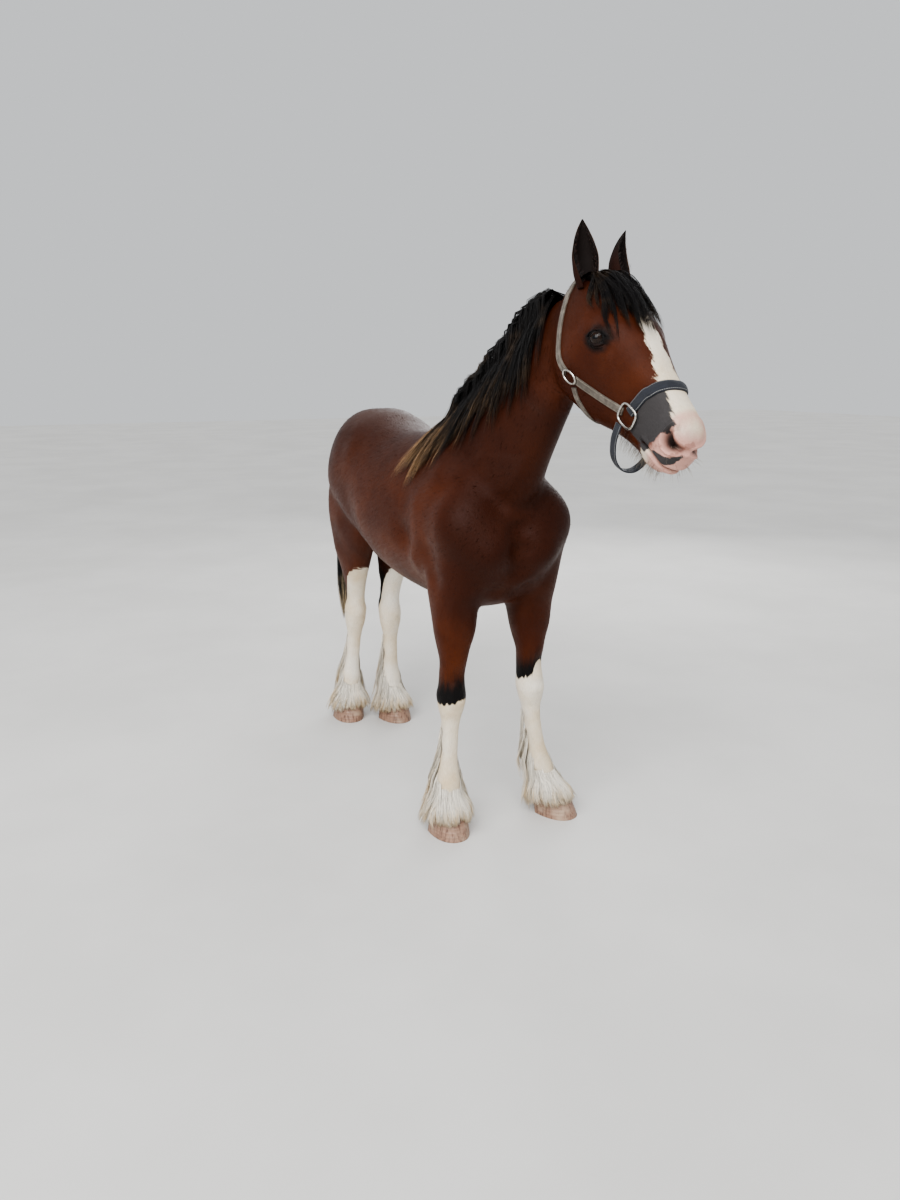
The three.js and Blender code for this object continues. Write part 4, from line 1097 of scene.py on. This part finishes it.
# Short coat
def make_tufts(name, count, seed):
    """Small tufts that lie along the skin, closer together on the head."""
    pick = np.random.default_rng(seed)
    mesh = skin.data
    mesh.calc_loop_triangles()
    tri = np.empty(len(mesh.loop_triangles) * 3, np.int32)
    mesh.loop_triangles.foreach_get("vertices", tri)
    tri = tri.reshape(-1, 3)
    co, facing = coordinates(mesh), normals(mesh)
    a, b, c = co[tri[:, 0]], co[tri[:, 1]], co[tri[:, 2]]
    area = np.linalg.norm(np.cross(b - a, c - a), axis=1) * np.where(on_head(a), 2.4, 1.0)
    chosen = pick.choice(len(tri), count, p=area / area.sum())
    w = pick.dirichlet((1, 1, 1), count)[..., None]
    corners = tri[chosen]
    place = millimetres((co[corners] * w).sum(1))
    up = unit((facing[corners] * w).sum(1))
    local = to_head(place)
    keep = ~((nostril_reach(local) < 1.5) & on_head(metres(place)))
    for side, _ in SIDES:
        keep &= ((place - eye_axes(side)[1]) ** 2).sum(-1) >= (EYE["radius"] + 1) ** 2
    place, up, local = place[keep], up[keep], local[keep]
    lie, _ = lie_of(place)
    lie = unit(lie - up * (lie * up).sum(-1, keepdims=True) + pick.normal(0, 0.12, place.shape))
    inside = on_head(metres(place))
    length = np.where(inside, mix(9, 4, step_up(local[:, 1], 150, 620)), 15.0)
    length = np.where(inside & (local[:, 2] < -200), 15, length)
    length = np.where(place[:, 2] < 800, 11, length) * pick.uniform(0.7, 1.2, len(place))
    k = np.linspace(0, 1, 4)[None, :, None]
    rise = pick.uniform(0.02, 0.08, (len(place), 1, 1))
    paths = place[:, None] + length[:, None, None] * (lie[:, None] * k + up[:, None] * rise * k)
    paths = paths - up[:, None] * 0.4
    flat = np.broadcast_to(up[:, None], paths.shape)
    half = pick.uniform(0.4, 0.8, len(place)) * np.clip(length / 11, 0.4, 1)
    return strands(name, paths, half, flat, place, **marked(place))


# Eyes and lids
def eye_axes(side):
    """The eye's own axes, outward, along the slit and up, and its middle."""
    outward = unit(np.array([side * 0.9, 0.36, 0.2]))
    up = np.array(EYE["up"])
    up = unit(up - outward * (up @ outward))
    axes = np.array([outward, -np.cross(up, outward), up])
    return axes @ HEAD_AXES, from_head(np.array(EYE["place"]) * (side, 1, 1))


def make_eye(side, name):
    """A ball with its cornea raised a little."""
    polar, turn = grid(np.linspace(0.02, np.pi - 0.02, 60), 90)
    local = np.stack([np.cos(polar), np.sin(polar) * np.cos(turn), np.sin(polar) * np.sin(turn)], -1)
    bulge = 1 + 0.05 * np.exp(-((polar / 0.55) ** 2))
    axes, centre = eye_axes(side)
    points, faces = loft(centre + (EYE["radius"] - 0.6) * bulge[..., None] * local @ axes)
    obj = mesh_of("eyeball_" + name, metres(points), faces)
    flat = (points - centre) @ axes.T / EYE["radius"]
    attribute(obj.data, "pupil", np.hypot(flat[:, 1] / 0.34, flat[:, 2] / 0.2))
    attribute(obj.data, "rim", np.hypot(flat[:, 1], flat[:, 2]) / 0.72)
    return obj


LID = {"wide": 24.4, "upper": 20.0, "lower": 16.5, "thick": 2.4, "outer": 44}


def make_lids(side, name):
    """Folded skin from the almond-shaped opening out to the face round the eye."""
    axes, centre = eye_axes(side)
    turn = np.arange(96) * TURN / 96
    rows = np.linspace(0, 1, 26)
    c, s = np.cos(turn), np.sin(turn)
    tall = np.where(s > 0, LID["upper"], LID["lower"])
    open_y, open_z = LID["wide"] * c, tall * np.sign(s) * np.abs(s) ** 1.15
    rings = []
    for row in rows:
        y = open_y * mix(1, 2.15, row)
        z = mix(open_z, LID["outer"] * s * 0.86, row)
        r = EYE["radius"] + LID["thick"] * min(1, 3 * row + 0.25)
        x = np.sqrt(np.maximum(r**2 - (y * mix(1, 0.6, row)) ** 2 - (z * mix(1, 0.6, row)) ** 2, 0))
        ball = centre + np.stack([x, y, z], -1) @ axes
        creases = [(2.2, 0.45, 0.07), (1.4, 0.68, 0.05)]
        crease = sum(deep * np.exp(-(((row - at_row) / wide) ** 2)) for deep, at_row, wide in creases)
        settled = []
        for p in ball:
            at, normal, _, _ = skin_tree.find_nearest(Vector(metres(p)))
            face = millimetres(np.array(at)) - np.array(normal) * 1.5
            settled.append(mix(p, face, step_up(row, 0.25, 1.0)) - np.array(normal) * crease)
        rings.append(np.array(settled))
    inner = centre + unit(rings[0] - centre) * (EYE["radius"] - 2.5)
    quads = quads_of(len(rings) + 1, len(turn))
    points = np.array([inner, *rings]).reshape(-1, 3)
    p = points[quads]
    if (np.cross(p[:, 1] - p[:, 0], p[:, 2] - p[:, 0]) @ axes[0]).sum() < 0:
        quads = quads[:, ::-1]
    obj = mesh_of("lids_" + name, metres(points), [quads])
    mark(obj, points)
    return obj


# Ears: [share of the height, share of the width, half the angle that the wall goes round]
EAR_SHAPE = table([
    [0, 0.62, 2.55], [0.22, 0.94, 2.2], [0.45, 1, 1.8], [0.68, 0.8, 1.5], [0.86, 0.46, 1.25],
    [1, 0.06, 1.1],
])


def ear_frame(side):
    base, tip = (np.array(EAR[k]) * (side, 1, 1) for k in ("base", "tip"))
    along = unit(tip - base)
    facing = np.array([side * 0.42, 0.62, 0.66])
    facing = unit(facing - along * (facing @ along))
    return base, tip, facing, np.cross(along, facing)


def ear_point(side, k, share, inset):
    """share runs from -1 to 1 round the ear's open curl."""
    base, tip, facing, across = ear_frame(side)
    width, opening = np.moveaxis(EAR_SHAPE(k), -1, 0)
    radius = EAR["width"] * width / np.sin(np.minimum(opening, 0.5 * np.pi))
    angle, r = opening * share, radius - inset
    back = 12 * np.sin(np.pi * k)
    middle = base + (tip - base) * k[..., None] - facing * back[..., None]
    middle = middle + across * (-side * 10 * k**2)[..., None]
    deep, wide = 0.4 * radius - r * np.cos(angle), r * np.sin(angle)
    return from_head(middle + facing * deep[..., None] + across * wide[..., None])


def make_ear(side, name):
    k = 1 - (1 - np.linspace(0, 1, 60)) ** 1.3
    share = np.linspace(-1, 1, 40)
    rows, cols = np.meshgrid(k, share, indexing="ij")
    wall = np.minimum(4.5, 0.3 * EAR["width"] * EAR_SHAPE(rows)[..., 0])
    thin = wall * np.clip(6 * (1 - np.abs(cols)), 0.25, 1)
    outer, inner = ear_point(side, rows, cols, 0.6 + 0 * thin), ear_point(side, rows, cols, 0.6 + thin)
    points, faces = loft(np.concatenate([outer, inner[:, ::-1]], 1))
    obj = mesh_of("pinna_" + name, metres(points), faces)
    away = np.abs(cols)
    faces_and_ends = {
        "within": (0 * cols, 1 + 0 * cols, (0, 0)),
        "edge": (away, away, (0, 0)),
        "tall": (rows, rows, (0, 1)),
    }
    for key, (outside, inside, ends) in faces_and_ends.items():
        attribute(obj.data, key, np.append(np.concatenate([outside, inside], 1), ends))
    attribute(obj.data, "flow", lie_of(points)[1])
    return obj


def ear_material():
    g = Graph("ear_fur", specular_ior_level=0.15)
    streak = g.noise(420.0, g.vector("flow"), 3.0)
    outer = g.blend(g.between(g.number("tall"), 0.3, 0.95), BAY_DARK, BLACK)
    inner = g.blend(g.between(g.number("edge"), 0.93, 1.0), DARK_SKIN, (0.12, 0.07, 0.045, 1))
    colour = g.toned(g.blend(g.number("within"), outer, inner), g.line(streak, 0.9, 0.55))
    return g.finish(colour, 0.75, g.bump(streak, 0.001, 0.7))


def make_ear_hair(side, name):
    """Soft hair that fills the ear's opening and fringes its edge."""
    count, steps = 420, 5
    k = random.uniform(0.05, 0.88, count)
    edge = np.sign(random.random(count) - 0.5) * random.uniform(0.55, 0.99, count)
    root = ear_point(side, k, edge, 1.5 + 0 * k)
    base, tip, facing, across = ear_frame(side)
    facing, across = facing @ HEAD_AXES, across @ HEAD_AXES
    up = unit((tip - base) @ HEAD_AXES)
    way = facing * 0.5 + up * 0.6 - across * (np.sign(edge) * 0.7)[:, None]
    way = unit(way + random.normal(0, 0.15, (count, 3)))
    t = np.linspace(0, 1, steps)[None, :, None]
    length = random.uniform(10, 26, (count, 1, 1)) * mix(1, 0.5, k)[:, None, None]
    paths = root[:, None] + way[:, None] * length * t + up * length * 0.3 * t**2
    flat = np.broadcast_to(facing, paths.shape)
    half = random.uniform(0.35, 0.7, count)
    return strands("ear_hair_" + name, paths, half, flat, root)


def fine_hairs(name, root, way, length, half, droop):
    """Single fine hairs from given roots, bending down by their droop."""
    t = np.linspace(0, 1, 6)[None, :, None]
    paths = root[:, None] + way[:, None] * length[:, None, None] * t
    paths = paths - np.array([0, 0, 1.0]) * (droop * length)[:, None, None] * t**2
    flat = np.broadcast_to(unit(np.cross(way, (0.3, 0.2, 0.9)))[:, None], paths.shape)
    return strands(name, paths, np.full(len(root), half), flat, root)


def make_chin_hair():
    """Short hair under the jaw and chin."""
    count = 420
    s = random.uniform(415, 600, count)
    angle = 1.5 * np.pi + random.normal(0, 0.30, count)
    root = from_head(head_local(s, angle, -2.0))
    way = unit(-HEAD_AXES[2] * 0.8 + HEAD_AXES[1] * 0.1 + random.normal(0, 0.22, (count, 3)))
    return fine_hairs("chin_hair", root, way, random.uniform(10, 38, count), 0.3, 0.5)


def make_whiskers():
    """Feelers on the lips and chin."""
    count = 110
    side = np.sign(random.random(count) - 0.5)
    local = np.stack([side * random.uniform(8, 58, count), random.uniform(585, 640, count),
                      random.uniform(-205, -120, count)], -1)
    root = on_skin(from_head(local))[0]
    way = unit(local - (0, 560, -140))
    way = unit(way @ HEAD_AXES + random.normal(0, 0.15, (count, 3)))
    return fine_hairs("whiskers", root, way, random.uniform(12, 34, count), 0.28, 0.3)


def make_lashes(side, name):
    """Lashes along the upper lid."""
    axes, centre = eye_axes(side)
    turn = np.repeat(np.linspace(0.16, np.pi - 0.16, 44), 2) + random.normal(0, 0.02, 88)
    y, z = LID["wide"] * np.cos(turn), LID["upper"] * np.sin(turn) ** 1.15
    r = EYE["radius"] + 2.2
    x = np.sqrt(np.maximum(r**2 - y**2 - z**2, 0))
    root = centre + np.stack([x, y, z], -1) @ axes
    way = np.stack([0.9 + 0 * x, 0.02 * y, 0.1 + 0 * x], -1) @ axes
    way = unit(way + random.normal(0, 0.06, (88, 3)))
    return fine_hairs("lashes_" + name, root, way, random.uniform(12, 19, 88), 0.4, 0.55)


# Hooves
def make_hoof(limb):
    """Horn with growth rings, its upper edge higher in front."""
    share, angle = grid(np.linspace(0, 1, 46), 96)
    drop = 0.36 * (np.sin(angle) * 70 + 40)
    z = share * (HOOF_TOP - np.clip(drop, -20, 46) - 1.0)
    ridge = 0.7 * np.sin(z * 0.42) * step_up(z, 4, 12) - 0.8 + 1.2 * step_up(z, 60, 80)
    points, faces = loft(hoof_point(limb, z, angle, ridge))
    return mesh_of("horn_" + limb["name"], metres(points), faces)


# Headcollar
# Stops on the skin are (s, degrees round the head), where 0 is its left and 90 the middle of the face.
RINGS = {
    "upper": {"stop": (203, -29), "half": (17, 27), "tube": 3.2, "square": 2.0},
    "lower": {"stop": (443, -25), "half": (29, 33), "tube": 3.6, "square": 3.4},
}
CROWN = [(180, -28), (130, -24), (60, -13), (0, 6), (-34, 34), (-44, 62), (-46, 90)]
NOSE = [(440, -21), (447, -8), (456, 10), (464, 22), (468, 36), (478, 62), (482, 90)]
THROAT = [(224, -38), (240, -47), (262, -56), (284, -70), (292, -90)]
CHEEK = [(222, -30), (290, -31), (355, -30), (418, -27)]


def stop_point(side, s, elevation):
    angle = np.radians(elevation if side > 0 else 180 - elevation)
    return from_head(head_local(np.float64(s), angle))


def on_skin(points):
    """The nearest places of the skin, and its normals there."""
    found = [skin_tree.find_nearest(Vector(metres(p)))[:2] for p in points]
    return millimetres([f[0] for f in found]), np.array([f[1] for f in found])


def band(name, middle, normal, half, low, high, square, bulge=0.0):
    """A strap along a path: a rounded flat section, low below the path and high above it."""
    along = unit(np.gradient(middle, axis=0))
    normal = unit(normal - along * (normal * along).sum(-1, keepdims=True))
    across = np.cross(along, normal)
    angle = np.arange(28) * TURN / 28
    x, y = oval(angle, half, (high + low) / 2, (high + low) / 2, square, square)
    y = y + (high - low) / 2 + bulge * (1 - (x / half) ** 2) * (y > 0)
    rings = middle[:, None] + across[:, None] * x[None, :, None] + normal[:, None] * y[None, :, None]
    points, faces = loft(rings)
    obj = mesh_of(name, metres(points), faces)
    run = np.append(0, np.cumsum(np.linalg.norm(np.diff(middle, axis=0), axis=1))) * MM
    upper = np.where(y > 0, x / half, 2.0)
    length = np.append(np.repeat(run, len(angle)), run[[0, -1]])
    attribute(obj.data, "across", np.append(np.tile(upper, len(middle)), [2, 2]))
    attribute(obj.data, "length", length)
    flat = np.append(np.tile(x * MM, len(middle)), [0, 0])
    attribute(obj.data, "weave", np.stack([flat, length, 0 * flat], -1))
    return obj


def make_strap(name, rows, half, high, square, bulge=0.0):
    """A strap laid on the skin through stops of (side, s, degrees), and evened out."""
    path = curve([stop_point(*row) for row in rows])(np.linspace(0, 1, 26 * len(rows)))[0]
    middle, normal = on_skin(path)
    for _ in range(30):
        for line in (middle, normal):
            line[1:-1] = mix(line[1:-1], (line[:-2] + line[2:]) / 2, 0.5)
    return band(name, middle, unit(normal), half, 2.5, high, square, bulge)


def over_both(stops):
    """Stops from the left side over the middle and on to the right."""
    return [(1, *row) for row in stops] + [(-1, *row) for row in stops[-2::-1]]


def make_ring(side, kind, name):
    """A ring of round wire that lies flat over the skin."""
    ring = RINGS[kind]
    wide, long = ring["half"]
    tube, square = ring["tube"], ring["square"]
    place, normal = on_skin([stop_point(side, *ring["stop"])])
    normal = unit(normal[0])
    along = unit(HEAD_AXES[1] - normal * (HEAD_AXES[1] @ normal))
    across = np.cross(along, normal)
    turn, round_tube = grid(np.arange(72) * TURN / 72, 16)
    x, y = oval(turn, wide, long, long, square, square)
    ahead = unit(np.stack([np.roll(a, -1, 0) - np.roll(a, 1, 0) for a in (x, y)], -1))
    x = x + ahead[..., 1] * tube * np.cos(round_tube)
    y = y - ahead[..., 0] * tube * np.cos(round_tube)
    z = tube * np.sin(round_tube) + 5.5 + tube
    points = place[0] + across * x[..., None] + along * y[..., None] + normal * z[..., None]
    a = np.arange(turn.size).reshape(turn.shape)
    b, c = np.roll(a, -1, 1), np.roll(a, -1, 0)
    quads = np.stack([a, b, np.roll(c, -1, 1), c], -1).reshape(-1, 4)
    return mesh_of(f"metal_{kind}_{name}", metres(points.reshape(-1, 3)), [quads])


def make_chin_strap():
    """A loop that hangs free from one lower ring to the other."""
    half = [(84, 452, -168), (78, 462, -215), (58, 480, -265), (26, 493, -290)]
    points = half + [(0, 496, -294)] + [(-x, s, t) for x, s, t in half[::-1]]
    middle, along = curve(from_head(points))(np.linspace(0, 1, 130))
    across = unit(HEAD_AXES[1] + 0.3 * HEAD_AXES[2])
    normal = np.cross(unit(across - along * (along @ across)[:, None]), along)
    return band("chin_band", middle, normal, 14, 3, 3, 3.0)


# The object
skin = make_skin()
mark(skin, millimetres(coordinates(skin.data)))
skin_tree = BVHTree.FromObject(skin, bpy.context.evaluated_depsgraph_get())
coat = coat_material()
flesh_nodes = ["torso", "neck", "head"]
flesh_nodes += [f"{limb['name']}_{part}" for limb in LEGS for part in ("upper", "lower")]
dress(skin, coat, flesh_nodes)

for side, name in SIDES:
    dress(make_eye(side, name), eye_material(), [f"eye_{name}"])
    dress(make_lids(side, name), coat, [])
    dress(make_ear(side, name), ear_material(), [f"ear_{name}"])

horn = horn_material()
for limb in LEGS:
    dress(make_hoof(limb), horn, [f"{limb['name']}_hoof"])

webbing = strap_material(
    "worn_strap", (0.085, 0.07, 0.055, 1), (0.20, 0.17, 0.14, 1), (0.3, 0.26, 0.2, 1)
)
padding = strap_material(
    "navy_padding", (0.006, 0.008, 0.015, 1), (0.018, 0.021, 0.031, 1), (0.25, 0.25, 0.24, 1)
)
metal = metal_material()
for name, stops, shape, made, slot, node in (
    ("crown_band", CROWN, (12, 5.0, 6), webbing, "strap", "crown_strap"),
    ("throat_band", THROAT, (10.5, 4.5, 6), webbing, "strap", "throat_strap"),
    ("nose_band", NOSE, (17, 5.0, 3.2, 3.0), padding, "padding", "noseband"),
):
    dress(make_strap(name, over_both(stops), *shape), made, [node])
dress(make_chin_strap(), padding, ["chin_strap"])
for side, name in SIDES:
    cheek = make_strap(f"cheek_band_{name}", [(side, *stop) for stop in CHEEK], 12, 5.0, 6)
    dress(cheek, webbing, [f"cheek_strap_{name}"])
    for kind in RINGS:
        dress(make_ring(side, kind, name), metal, [f"ring_{kind}_{name}"])

mane_hair = hair_material("mane_hair", BLACK, TAN, 0.85, 1.45, specular_ior_level=0.25)
tail_hair = hair_material("tail_hair", BLACK, CREAM, 0.8, 1.2)
feather_hair = hair_material("feather_hair", WHITE, CREAM, 0.55, 1.25)
ear_hair = hair_material("ear_hair", BLACK, BAY, 0.5, 1.6)
dress(make_mane(), mane_hair, [])
dress(make_forelock(), mane_hair, [])
dress(make_tail(), tail_hair, ["tail"])
for limb in LEGS:
    dress(make_feather(limb), feather_hair, [])
lash_hair = hair_material("lash_hair", BLACK, BLACK, 0.5, 1.0)
for side, name in SIDES:
    dress(make_ear_hair(side, name), ear_hair, [])
    dress(make_lashes(side, name), lash_hair, [])
chin_hair = hair_material("chin_hair", (0.12, 0.08, 0.055, 1), (0.36, 0.31, 0.24, 1), 0.3, 1.0)
dress(make_chin_hair(), chin_hair, [])
dress(make_whiskers(), chin_hair, [])
for part in range(3):
    dress(make_tufts(f"short_coat_{part}", 7400, 40 + part), coat, [])


# Floor, light and camera
# Each lamp: kind, place in metres, size in metres or angle in radians, power.
LAMPS = [
    ("AREA", (-4.5, -3, 4.5), 4.5, 330), ("SUN", (-3, -6, 8), 0.7, 1.5), ("AREA", (3.5, 4, 3.5), 4, 120),
]


def make_stage():
    bpy.ops.mesh.primitive_plane_add(size=60)
    floor = bpy.context.object
    floor.name = "floor"
    g = Graph("pale_floor", roughness=0.75)
    colour = g.blend(g.between(g.noise(0.8), 0.3, 0.7), (0.60, 0.59, 0.57, 1), (0.66, 0.65, 0.63, 1))
    floor.data.materials.append(g.finish(colour))
    for kind, place, size, power in LAMPS:
        lamp = bpy.data.lights.new("soft_light", kind)
        lamp.energy = power
        if kind == "SUN":
            lamp.angle = size
        else:
            lamp.size = size
        obj = bpy.data.objects.new("soft_light", lamp)
        obj.location = place
        obj.rotation_euler = (Vector((0, 0, 1)) - Vector(place)).to_track_quat("-Z", "Y").to_euler()
        bpy.context.collection.objects.link(obj)
    world = bpy.data.worlds.new("studio")
    world.use_nodes = True
    background = world.node_tree.nodes["Background"]
    background.inputs["Color"].default_value = (0.86, 0.88, 0.90, 1)
    background.inputs["Strength"].default_value = 0.75
    bpy.context.scene.world = world


CAMERA = {"place": (-1.5701, -3.1, 1.7), "turn": (75.8, 0, -25.6), "lens": 27.03}


def make_camera():
    data = bpy.data.cameras.new("camera")
    data.lens = CAMERA["lens"]
    data.sensor_fit = "VERTICAL"
    data.sensor_height = 36
    camera = bpy.data.objects.new("camera", data)
    camera.location = CAMERA["place"]
    camera.rotation_euler = np.radians(CAMERA["turn"])
    bpy.context.collection.objects.link(camera)
    bpy.context.scene.camera = camera


make_stage()
make_camera()
bpy.context.scene.view_settings.look = "AgX - Medium High Contrast"
